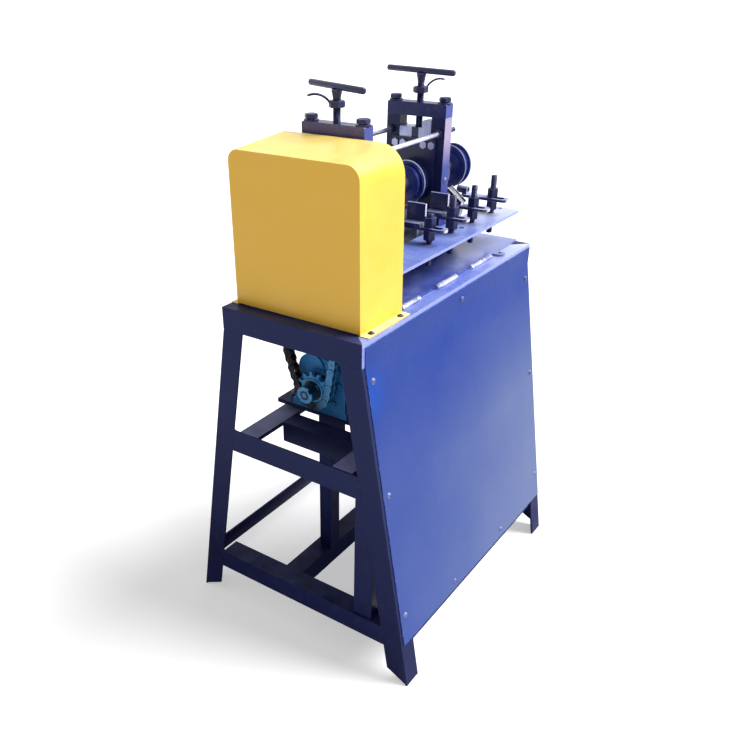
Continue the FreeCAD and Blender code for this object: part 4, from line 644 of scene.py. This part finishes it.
def addWashedBolt(shape, washer, head, place):
    addWasher(shape, *washer, place)
    addBoltHead(shape, *head, place @ standing(0, 0, washer[2]))


# Screw threads: a bar whose radius follows the helix, four rings to a turn, with chamfered ends
threads = dict(m12=dict(across=12.0, pitch=1.75, depth=1.0), m8=dict(across=8.0, pitch=1.25, depth=0.7),
    spindle=dict(across=13.0, pitch=1.75, depth=1.1), sides=16, ringsPerTurn=4, endCut=1.5)


def threadRings(kind, low, high):
    look = threads[kind]
    count = max(2, round((high - low) / look["pitch"] * threads["ringsPerTurn"]))
    rings = []
    for k in range(count + 1):
        height = low + (high - low) * k / count
        endRadius = look["across"] / 2 - look["depth"] * threads["endCut"] + min(height - low, high - height)
        points = []
        for i, t in enumerate(angles(threads["sides"])):
            phase = (height / look["pitch"] - i / threads["sides"]) % 1
            radius = min(look["across"] / 2 - look["depth"] * abs(2 * phase - 1), endRadius)
            points.append(around(radius, t, height))
        rings.append(points)
    return rings


# Nuts, bolts and rods. The stud tops are heights over the floor, read from the photograph
fasteners = dict(nutAcross=19, nutHeight=10, rodNutAcross=13, rodNutHeight=6.5, rodNutBore=7.4,
    fixedBore=11.2, runningBore=12.1, endBore=19.6, rodThread=40, rodWidth=7.8, rodNeck=6.4, angleWall=4,
    washer=24, washerBore=12.4, washerThick=2, boltWidth=12, collar=14.8, collarHeight=3, headHeight=7,
    rodTaper=(1, 0.6), studTops=(764, 777, 779, 782))


def makeRods():
    shape = bmesh.new()
    bright = bmesh.new()
    stationTops = iter(fasteners["studTops"])
    table = millimetreBox("table_sheet")[0].z
    thread, neck, wide = fasteners["rodThread"], fasteners["rodNeck"] / 2, fasteners["rodWidth"] / 2
    inside, outside = fasteners["rodTaper"]
    for rod in sorted(solidsOf("threaded_rods"), key=lambda rod: rod["middle"].x):
        x, y, z = rod["middle"]
        if rod["size"].x > rod["size"].z:
            length = rod["size"].x
            place = pointing((rod["low"].x, y, z), (1, 0, 0))
            skin(shape, threadRings("m8", 0, thread), place)
            skin(shape, threadRings("m8", length - thread, length), place)
            turned(bright, [(neck, thread - inside), (wide, thread + outside),
                            (wide, length - thread - outside), (neck, length - thread + inside)], place)
        else:
            top = rod["high"].z if rod["low"].z < table else next(stationTops)
            skin(shape, threadRings("m12", rod["low"].z, top), standing(x, y, 0))
    makePiece("threadedEnds", shape, "hardwareEnamel", "stand", ["threaded_rods"], 60)
    makePiece("tieRodShanks", bright, "brightRod", "stand", ["threaded_rods"])


def makeFixedNuts():
    shape = bmesh.new()
    turnOf = random.Random(4)
    railTop = millimetreBox("mid_long_rails")[1].z
    feedBottom = millimetreBox("feed_plate")[0].z
    height, rodHeight = fasteners["nutHeight"], fasteners["rodNutHeight"]
    motorNuts = (railTop - fasteners["angleWall"] - height, railTop, millimetreBox("motor_plate")[1].z)
    feedNuts = (feedBottom - height, feedBottom - 2 * height)
    for rod in solidsOf("threaded_rods"):
        x, y, z = rod["middle"]
        if rod["size"].x > rod["size"].z:
            for low, high in (millimetreBox(end + "_bearing_plate") for end in ("near", "far")):
                for start in (low.x - rodHeight, high.x):
                    place = pointing((start, y, z), (1, 0, 0))
                    addNut(shape, fasteners["rodNutAcross"], rodHeight, fasteners["rodNutBore"], place)
            continue
        for start in motorNuts if rod["low"].z < railTop else feedNuts:
            place = standing(x, y, start, turnOf.uniform(0, math.pi / 3))
            addNut(shape, fasteners["nutAcross"], height, fasteners["fixedBore"], place)
    makePiece("fixedNuts", shape, "hardwareEnamel", "stand", ["fixed_nuts"])


def makeClampNuts(number):
    shape = bmesh.new()
    turnOf = random.Random(number)
    node = "clamp_nuts_%d" % number
    for nut in solidsOf(node):
        place = standing(nut["middle"].x, nut["middle"].y, nut["low"].z, turnOf.uniform(-0.2, 0.3))
        addNut(shape, fasteners["nutAcross"], nut["size"].z, fasteners["runningBore"], place)
    body = "station_%d_nuts" % number
    makePiece("clampNuts%d" % number, shape, "hardwareEnamel", body, [node])


def makeCapBolts():
    shape = bmesh.new()
    turnOf = random.Random(9)
    capTop = millimetreBox("bearing_caps")[1].z
    shank, collar = fasteners["boltWidth"] / 2, fasteners["collar"] / 2
    thick = fasteners["washerThick"]
    head = capTop + fasteners["collarHeight"]
    for bolt in solidsOf("cap_bolts"):
        x, y = bolt["middle"].xy
        addWasher(shape, fasteners["washer"], fasteners["washerBore"], thick, standing(x, y, capTop))
        profile = [(shank, bolt["low"].z), (shank, capTop), (collar, capTop + thick), (collar, head)]
        turned(shape, profile, standing(x, y, 0))
        place = standing(x, y, head, turnOf.uniform(0, math.pi / 3))
        addBoltHead(shape, fasteners["nutAcross"], fasteners["headHeight"], place)
    makePiece("capBolts", shape, "hardwareEnamel", "stand", ["cap_bolts"])


def makeEndNut(name, node, body):
    shape = bmesh.new()
    low, high = millimetreBox(node)
    place = pointing((low.x, *middleOf(node).yz), (1, 0, 0))
    addNut(shape, high.z - low.z, high.x - low.x, fasteners["endBore"], place)
    makePiece(name, shape, "oiledChainSteel", body, [node])


# Round-headed screws with a cross recess, enamelled, on a plain washer
sheetScrew = dict(dome=8.944, rise=3.4, domeFoot=0.3, domeSteps=6, domeTop=0.6, crossLength=4.6,
    crossWidth=1.1, crossDepth=0.9, crossProud=0.05, washerWidth=11, washerBore=6.2, washer=0.8)


def makeSheetScrews():
    shape = bmesh.new()
    recess = bmesh.new()
    turnOf = random.Random(2)
    half, rise, base = sheetScrew["dome"] / 2, sheetScrew["rise"], sheetScrew["washer"]
    foot = base + sheetScrew["domeFoot"]
    dome = [(half, base)]
    for step in range(sheetScrew["domeSteps"]):
        t = math.pi / 2 * step / sheetScrew["domeSteps"]
        dome.append((half * math.cos(t), foot + (rise - foot) * math.sin(t)))
    dome.append((sheetScrew["domeTop"], rise))
    a, b = sheetScrew["crossLength"] / 2, sheetScrew["crossWidth"] / 2
    for screw in solidsOf("sheet_screws"):
        way = -screw["flat"]
        thick = max(abs(way[i]) * screw["size"][i] for i in range(3))
        seat = screw["middle"] - way * min(rise, thick) / 2
        place = pointing(seat, way) @ standing(0, 0, 0, turnOf.uniform(0, math.pi))
        addWasher(shape, sheetScrew["washerWidth"], sheetScrew["washerBore"], base, place)
        turned(shape, dome, place)
        for turn in (0, math.pi / 2):
            box = [[(-a, -b, h), (a, -b, h), (a, b, h), (-a, b, h)]
                   for h in (rise - sheetScrew["crossDepth"], rise + sheetScrew["crossProud"])]
            skin(recess, box, place @ standing(0, 0, 0, turn))
    makePiece("sheetScrews", shape, "screwEnamel", "stand", ["sheet_screws"])
    makePiece("screwRecesses", recess, "hardwareEnamel", "stand")


# Weld beads: a rippled half-round run along a line of points
beadLook = dict(ripple=0.14, rippleSteps=2.6, sides=10, rough=0.12, tip=0.4, turn=0.3)


def addBead(shape, path, width, seed, looped=False, calm=1.0):
    drawn = random.Random(seed)
    count = len(path)
    rings = []
    for i, spot in enumerate(path):
        before = path[i - 1] if looped or i else path[0]
        after = path[(i + 1) % count] if looped or i < count - 1 else path[-1]
        place = pointing(spot, after - before)
        wave = beadLook["ripple"] * math.cos(2 * math.pi * i / beadLook["rippleSteps"])
        swell = 1 + calm * (wave + drawn.uniform(-1, 1) * beadLook["rough"])
        if not looped and i in (0, count - 1):
            swell *= beadLook["tip"]
        points = ring(width / 2 * swell, 0, beadLook["sides"], beadLook["turn"])
        rings.append([place @ Vector(p) for p in points])
    skin(shape, rings, None, looped)


def straightPath(start, end, step):
    start, end = Vector(start), Vector(end)
    count = max(3, round((end - start).length / step))
    return [start.lerp(end, i / count) for i in range(count + 1)]


# Pressure screws: threaded spindle, forged hub and a bar pushed through it, welded at the hub
screwLook = dict(hubTop=17, hubFoot=12.2, hubLength=14.5, hubSteps=4, flare=1.4, barWidth=9.6, barRound=3,
    barSteps=4, sink=0.6, sides=28, bead=2.4, beadInset=1.6, threadEnd=1, hubEdge=0.2, hubLip=0.6, neck=2.4,
    crown=((0.4, 0.8), (1.4, 0)))
screwBars = dict(
    near=dict(length=143, shift=2, angle=70, seed=11),
    far=dict(length=151, shift=3, angle=79, seed=23))


def makePressureScrew(end):
    node = end + "_pressure_screw"
    low, high = millimetreBox(node)
    x, y = middleOf(end + "_bearing_plate").xy
    bar = screwBars[end]
    half, wide, foot = screwLook["barWidth"] / 2, screwLook["hubTop"] / 2, screwLook["hubFoot"] / 2
    barZ = high.z - half
    hubTop = barZ - half + screwLook["sink"]
    hubBottom = hubTop - screwLook["hubLength"]
    shape = bmesh.new()
    skin(shape, threadRings("spindle", low.z, hubBottom + screwLook["threadEnd"]), standing(x, y, 0))
    edge, lip = screwLook["hubEdge"], hubBottom + screwLook["hubLip"]
    hub = [(foot - edge, hubBottom - edge), (foot, lip)]
    for step in range(1, screwLook["hubSteps"] + 1):
        share = step / screwLook["hubSteps"]
        hub.append((foot + (wide - foot) * share ** screwLook["flare"],
                    lip + (hubTop - screwLook["neck"] - hubBottom) * share))
    hub += [(wide - inset, hubTop - drop) for inset, drop in screwLook["crown"]]
    turned(shape, hub, standing(x, y, 0), screwLook["sides"])
    way = Vector((math.cos(math.radians(bar["angle"])), math.sin(math.radians(bar["angle"])), 0))
    start = Vector((x, y, barZ)) + way * (bar["shift"] - bar["length"] / 2)
    crown = screwLook["barRound"]
    rounded = [(half - crown * (1 - math.sin(t)), crown * (1 - math.cos(t)))
               for t in angles(4 * screwLook["barSteps"])[:screwLook["barSteps"]]]
    profile = rounded + [(half, crown), (half, bar["length"] - crown)]
    profile += [(radius, bar["length"] - height) for radius, height in reversed(rounded)]
    turned(shape, profile, pointing(start, way), screwLook["sides"])
    seam = ring(wide - screwLook["beadInset"], hubTop - edge, screwLook["sides"])
    addBead(shape, [Vector((x, y, 0)) + Vector(p) for p in seam], screwLook["bead"], bar["seed"], True)
    makePiece(end + "PressureScrew", shape, "hardwareEnamel", end + "_screw", [node])


# Lock nuts: a hexagon with a bent wire lever welded to one corner
leverLook = dict(across=23, thick=10, wire=3.6, wireSides=12, tip=0.62, apex=35.5, rise=15, bend=30,
    inner=-60, outer=20, steps=16, angles=dict(near=138, far=-33))


def makeLockNut(end):
    node = end + "_lock_nut"
    x, y = middleOf(end + "_bearing_plate").xy
    shape = bmesh.new()
    place = standing(x, y, millimetreBox(node)[0].z, math.radians(leverLook["angles"][end]))
    addNut(shape, leverLook["across"], leverLook["thick"], fasteners["runningBore"], place)
    bend, steps = leverLook["bend"], leverLook["steps"]
    centre = Vector((leverLook["apex"], 0, leverLook["thick"] / 2 + leverLook["rise"] - bend))
    rings = []
    for i in range(steps + 1):
        t = math.radians(leverLook["inner"] + (leverLook["outer"] - leverLook["inner"]) * i / steps)
        spot = centre + bend * Vector((math.sin(t), 0, math.cos(t)))
        wide = leverLook["wire"] / 2 * (leverLook["tip"] if i == steps else 1.0)
        across = pointing(spot, (math.cos(t), 0, -math.sin(t)))
        rings.append([across @ Vector(p) for p in ring(wide, 0, leverLook["wireSides"])])
    skin(shape, rings, place)
    makePiece(end + "LockNut", shape, "hardwareEnamel", end + "_lock", [node])


# Roller chain, 15.875 mm pitch: waisted plates, rollers and riveted pins round the two sprockets
chainLook = dict(pitch=15.875, links=48, teeth=(12, 28), plateHeight=14.6, waist=11.6, wall=1.5, wrap=110,
    wrapSteps=12, dipAt=2.6, dipShare=0.94, plateEdge=0.3, plateGap=0.05, innerWidth=9.65, roller=10.16,
    rollerGap=0.2, rollerEdge=0.4, rollerSides=20, pin=5.08, proud=1.2, pinTip=0.55, pinEdge=0.6,
    pinSides=14, slackFrom=1.6, slackTo=400, slackSteps=80)


def polar(radius, angle):
    return Vector((0, radius * math.sin(angle), radius * math.cos(angle)))


def heading(spot):
    return math.atan2(spot.y, spot.z)


# The places of the pins: an arc on each sprocket, a tight front strand and a slack rear strand, whose arc is
# widened or narrowed until the whole chain has its number of links
def chainPins():
    pitch = chainLook["pitch"]
    small, large = middleOf("drive_sprocket"), middleOf("driven_sprocket")
    small.x = large.x = middleOf("roller_chain").x
    smallStep, largeStep = (2 * math.pi / teeth for teeth in chainLook["teeth"])
    smallRadius, largeRadius = (pitch / (2 * math.sin(step / 2)) for step in (smallStep, largeStep))
    distance = (large - small).length
    base = heading(large - small)
    front = base - math.acos((smallRadius - largeRadius) / distance)

    def route(slack):
        toSmall, toLarge = slack - smallRadius, slack - largeRadius
        turn = math.acos((toSmall ** 2 + distance ** 2 - toLarge ** 2) / (2 * toSmall * distance))
        centre = small + polar(toSmall, base - turn)
        rearLow, rearHigh = heading(small - centre), heading(large - centre)
        slackStep = 2 * math.asin(pitch / (2 * slack))
        spans = [(front + 2 * math.pi - rearLow) / smallStep,
                 math.sqrt(distance ** 2 - (largeRadius - smallRadius) ** 2) / pitch,
                 (rearHigh - front) / largeStep, (rearLow - rearHigh) / slackStep]
        return centre, rearLow, rearHigh, slackStep, spans

    tight, wide = largeRadius * chainLook["slackFrom"], distance * chainLook["slackTo"]
    for _ in range(chainLook["slackSteps"]):
        slack = math.sqrt(tight * wide)
        if sum(route(slack)[-1]) > chainLook["links"]:
            tight = slack
        else:
            wide = slack
    centre, rearLow, rearHigh, slackStep, spans = route(slack)
    start, end = small + polar(smallRadius, front), large + polar(largeRadius, front)

    def pinPlace(count):
        if count < spans[0]:
            return small + polar(smallRadius, rearLow + count * smallStep)
        count -= spans[0]
        if count < spans[1]:
            return start.lerp(end, count / spans[1])
        count -= spans[1]
        if count < spans[2]:
            return large + polar(largeRadius, front + count * largeStep)
        return centre + polar(slack, rearHigh + (count - spans[2]) * slackStep)

    return [pinPlace(count) for count in range(chainLook["links"])]


def plateOutline(shrink):
    half = chainLook["plateHeight"] / 2 - shrink
    waist = chainLook["waist"] / 2 - shrink
    reach, wrap = chainLook["pitch"] / 2, chainLook["wrap"]
    steps, dipAt = chainLook["wrapSteps"], chainLook["dipAt"]
    turns = [math.radians(2 * wrap * i / steps - wrap) for i in range(steps + 1)]
    right = [(reach + half * math.cos(t), half * math.sin(t)) for t in turns]
    left = [(-u, -v) for u, v in right]
    dip = (waist + half * chainLook["dipShare"]) / 2
    top = [(dipAt, dip), (0, waist), (-dipAt, dip)]
    return right + top + left + [(-u, -v) for u, v in top]


def makeChain():
    shape = bmesh.new()
    pins = chainPins()
    inner, wall, edge = chainLook["innerWidth"] / 2, chainLook["wall"], chainLook["plateEdge"]
    outer = inner + wall + chainLook["plateGap"]
    head = inner + 2 * wall + chainLook["proud"]
    roller, rollerEdge = chainLook["roller"] / 2, chainLook["rollerEdge"]
    end = inner - chainLook["rollerGap"]
    rollerProfile = [(roller - rollerEdge, -end), (roller, rollerEdge - end), (roller, end - rollerEdge),
                     (roller - rollerEdge, end)]
    pin, tip, taper = chainLook["pin"] / 2, chainLook["pinTip"], head - chainLook["pinEdge"]
    pinProfile = [(pin * tip, -head), (pin, -taper), (pin, taper), (pin * tip, head)]
    for number, start in enumerate(pins):
        following = pins[(number + 1) % len(pins)]
        along = (following - start).normalized()
        aside = Vector((1, 0, 0))
        turn = Matrix((along, aside.cross(along), aside)).transposed().to_4x4()
        place = Matrix.Translation((start + following) / 2) @ turn
        isInner = number % 2 == 0
        near = inner if isInner else outer
        for face in (near, -near - wall):
            levels = ((edge, face), (0, face + edge), (0, face + wall - edge), (edge, face + wall))
            skin(shape, [[(u, v, level) for u, v in plateOutline(shrink)] for shrink, level in levels],
                 place)
        for side in (-1, 1):
            spot = place @ standing(side * chainLook["pitch"] / 2, 0, 0)
            if isInner:
                turned(shape, rollerProfile, spot, chainLook["rollerSides"])
            else:
                turned(shape, pinProfile, spot, chainLook["pinSides"])
    makePiece("rollerChain", shape, "reflectingChain", "stand", ["roller_chain"])


makeRods()
makeFixedNuts()
for number in range(1, 5):
    makeClampNuts(number)
makeCapBolts()
makeEndNut("upperEndNut", "upper_end_nut", "upper_drive")
makeEndNut("lowerEndNut", "lower_end_nut", "lower_drive")
makeSheetScrews()
for end in ("near", "far"):
    makePressureScrew(end)
    makeLockNut(end)
makeChain()
print("fasteners, screws and chain ready")


# Welds: three ground stitches along the table's front edge, and beads where rails and plates meet what
# carries them
weldLook = dict(stitches=((-150, -90), (-34, 40), (94, 178)), stitchWidth=13.0, stitchPlace=-112.2,
    stitchSink=3.4, stitchStep=2.2, stitchCalm=0.3, stitchSeed=30, beadWidth=5.0, beadStep=1.2, beadSeed=50,
    legWidth=40, legWall=4, railInset=5, plateBead=(2, 34))


def legInnerEdge(height):
    rail = millimetreBox("top_near_rail")[0]
    slope = (rail.y - millimetreBox("near_front_leg")[0].y) / rail.z
    return (rail.z - height) * slope - rail.y - weldLook["legWidth"] * math.sqrt(1 + slope ** 2)


def makeWelds():
    top = millimetreBox("table_sheet")[1].z
    stitches = bmesh.new()
    place, depth = weldLook["stitchPlace"], top - weldLook["stitchSink"]
    for seed, (start, end) in enumerate(weldLook["stitches"], weldLook["stitchSeed"]):
        path = straightPath((start, place, depth), (end, place, depth), weldLook["stitchStep"])
        addBead(stitches, path, weldLook["stitchWidth"], seed, calm=weldLook["stitchCalm"])
    makePiece("tableStitches", stitches, "weldMetal", "stand")

    railLow, railHigh = millimetreBox("top_front_rail")
    runs = []
    for side in (-1, 1):
        for x in (railLow.x + weldLook["legWall"], railHigh.x - weldLook["legWall"]):
            for rail in ("low_end_rails", "mid_end_rails"):
                runs.append([(x, side * legInnerEdge(end.z), end.z) for end in millimetreBox(rail)])
            outer, inner = -railLow.y - weldLook["railInset"], -railHigh.y
            runs.append([(x, side * outer, railLow.z), (x, side * inner, railLow.z)])
    short, long = weldLook["plateBead"]
    for plate in ("near_bearing_plate", "far_bearing_plate"):
        low, high = millimetreBox(plate)
        for x in (low.x, high.x):
            for start, end in ((low.y + short, low.y + long), (high.y - long, high.y - short)):
                runs.append([(x, start, top), (x, end, top)])
    beads = bmesh.new()
    for seed, (start, end) in enumerate(runs, weldLook["beadSeed"]):
        addBead(beads, straightPath(start, end, weldLook["beadStep"]), weldLook["beadWidth"], seed)
    makePiece("frameBeads", beads, "frameEnamel", "stand")


# Motor: fan grille of rings and bars, hood screws and flange bolts, lid screws and a ribbed gland cap
motorLook = dict(rings=6, firstRing=8, ringStep=7.5, bars=12, barReach=(6, 50), wire=2.2, ringThick=1.6,
    barThick=1.2, hub=[(7, 0), (7, 1.2), (5.5, 2.2), (0.5, 2.2)], hubSides=28, hoodInset=32, hoodRadius=60.6,
    hoodBolt=(8, 3), flangeInset=10, flangeRadius=56, flangeTurn=52.5, flangeBolt=(10, 5),
    flangeWasher=(12, 6, 1), lidInset=8, lidDepth=58,
    lidScrew=[(3.4, 0), (3.4, 1.2), (2.6, 2.0), (0.4, 2.2)], glandHeight=17, glandRibs=16,
    gland=[(7.6, 0, 0), (8.4, 0.6, 0.5), (8.2, 7, 0.5), (6.6, 9, 0), (5.2, 10, 0), (3.4, 10, 0),
           (3.2, 7, 0)])
hoopLook = dict(shoulder=0.6, edge=0.4, sides=40)
alongX = Vector((1, 0, 0))


def addHoop(shape, centre, radius, width, thick):
    inner, outer = radius - width / 2, radius + width / 2
    shoulder, edge = thick * hoopLook["shoulder"], hoopLook["edge"]
    profile = [(inner, 0), (outer, 0), (outer, shoulder), (outer - edge, thick), (inner + edge, thick),
               (inner, shoulder)]
    turned(shape, profile, pointing(centre, alongX), hoopLook["sides"], True)


def makeMotorDetails():
    low, high = millimetreBox("motor")
    axis = Vector((high.x, *middleOf("motor").yz))
    shape = bmesh.new()
    for number in range(motorLook["rings"]):
        radius = motorLook["firstRing"] + number * motorLook["ringStep"]
        addHoop(shape, axis, radius, motorLook["wire"], motorLook["ringThick"])
    thick = alongX * motorLook["barThick"]
    for angle in angles(motorLook["bars"]):
        out = polar(1, angle)
        half = alongX.cross(out) * motorLook["wire"] / 2
        spots = [axis + out * reach for reach in motorLook["barReach"]]
        skin(shape, [[spot - half + thick, spot + half + thick, spot + half, spot - half] for spot in spots])
    turned(shape, motorLook["hub"], pointing(axis, alongX), motorLook["hubSides"])
    for number in range(4):
        out = polar(1, math.radians(45 + 90 * number))
        hood = axis - alongX * motorLook["hoodInset"] + out * motorLook["hoodRadius"]
        addBoltHead(shape, *motorLook["hoodBolt"], pointing(hood, out))
        flange = polar(motorLook["flangeRadius"], math.radians(motorLook["flangeTurn"] + 90 * number))
        flange += Vector((low.x + motorLook["flangeInset"], *axis.yz))
        place = pointing(flange, alongX)
        addWashedBolt(shape, motorLook["flangeWasher"], motorLook["flangeBolt"], place)
    makePiece("fanGrille", shape, "motorEnamel", "stand")

    low, high = millimetreBox("terminal_box")
    inset = motorLook["lidInset"]
    screws = bmesh.new()
    for x in (low.x + inset, high.x - inset):
        for y in (low.y + inset, low.y + motorLook["lidDepth"]):
            turned(screws, motorLook["lidScrew"], standing(x, y, high.z), 20)
    makePiece("lidScrews", screws, "zincPlate", "stand")

    count = motorLook["glandRibs"] * 2
    rings = [[around(radius - depth * (i % 2), t, height) for i, t in enumerate(angles(count))]
             for radius, height, depth in motorLook["gland"]]
    gland = bmesh.new()
    place = pointing((middleOf("terminal_box").x, high.y, low.z + motorLook["glandHeight"]), (0, 1, 0))
    skin(gland, rings, place)
    makePiece("glandCap", gland, "mouldedNylon", "stand")


# Gear case: bolts round the cover and the bearing cap, feet bolts, filler and drain plug, shaft seal. Bolts
# are given by width over flats and height, washers by width, bore and thickness
caseLook = dict(coverInset=7, coverRadius=40, coverBolts=6, coverTurn=40, coverBolt=(10, 4.2),
    capRadius=24.5, capBolts=4, capTurn=45, capBolt=(8, 3.4), footInset=(16, 18, 6.5), footTop=446,
    footWasher=(14, 7, 1.4), footBolt=(11, 5), fillerInset=28, fillerRadius=49.5, fillerTurn=-38,
    fillerWasher=(18, 9, 1.4), plug=(13, 6), drain=(60, 3.4, -30), drainPlug=(13, 5), seal=(20.5, 6, 0.9),
    sealProud=0.2)


def makeCaseDetails():
    low, high = millimetreBox("gear_case")
    face = Vector((low.x, *middleOf("output_shaft").yz))
    inner = face + alongX * caseLook["coverInset"]
    shape = bmesh.new()
    for key, middle in (("cover", inner), ("cap", face)):
        for angle in angles(caseLook[key + "Bolts"], math.radians(caseLook[key + "Turn"])):
            spot = middle + polar(caseLook[key + "Radius"], angle)
            addBoltHead(shape, *caseLook[key + "Bolt"], pointing(spot, -alongX))
    fromLow, fromHigh, fromSide = caseLook["footInset"]
    for x in (low.x + fromLow, high.x - fromHigh):
        for y in (low.y + fromSide, high.y - fromSide):
            foot = standing(x, y, caseLook["footTop"])
            addWashedBolt(shape, caseLook["footWasher"], caseLook["footBolt"], foot)
    turn = math.radians(caseLook["fillerTurn"])
    spot = face + alongX * caseLook["fillerInset"] + polar(caseLook["fillerRadius"], turn)
    addWashedBolt(shape, caseLook["fillerWasher"], caseLook["plug"], pointing(spot, polar(1, turn)))
    x, y, z = caseLook["drain"]
    addBoltHead(shape, *caseLook["drainPlug"], pointing((low.x + x, low.y + y, face.z + z), (0, -1, 0)))
    makePiece("caseBolts", shape, "motorEnamel", "stand")
    seal = bmesh.new()
    addHoop(seal, face - alongX * caseLook["sealProud"], *caseLook["seal"])
    makePiece("shaftSeal", seal, "mouldedNylon", "stand")


makeWelds()
makeMotorDetails()
makeCaseDetails()
print("welds and drive details ready")


# Soft edges on the carried-over nodes, by width in mm: weld the mesh, join flat faces, round what is sharp
edgeRounds = {
    0.3: ["guide_strap_3", "guide_strap_4"],
    0.4: ["feed_plate", "guide_strap_1", "guide_strap_2"],
    0.5: ["feed_brackets", "low_side_bars"],
    0.6: ["near_bearing_plate", "far_bearing_plate", "cross_rail", "low_middle_rail", "low_end_rails",
          "mid_end_rails", "mid_long_rails", "motor_post", "end_post"],
    0.8: ["bearing_caps", "motor_plate", "output_shaft", "terminal_box", "top_near_rail", "top_far_rail",
          "top_front_rail", "top_rear_rail", "near_front_leg", "near_rear_leg", "far_front_leg",
          "far_rear_leg"],
}
edgeLook = dict(weld=0.01, flat=0.5, segments=2, sharp=40)


def softenEdges(thing, width):
    weld = thing.modifiers.new("weld", "WELD")
    weld.merge_threshold = edgeLook["weld"] * mm
    flat = thing.modifiers.new("flat", "DECIMATE")
    flat.decimate_type = "DISSOLVE"
    flat.angle_limit = math.radians(edgeLook["flat"])
    bevel = thing.modifiers.new("edges", "BEVEL")
    bevel.width = width * mm
    bevel.segments = edgeLook["segments"]
    bevel.limit_method = "ANGLE"
    bevel.angle_limit = math.radians(edgeLook["sharp"])


for width, members in edgeRounds.items():
    for name in members:
        softenEdges(nodes[name], width)
print("edges softened on", sum(map(len, edgeRounds.values())), "nodes")
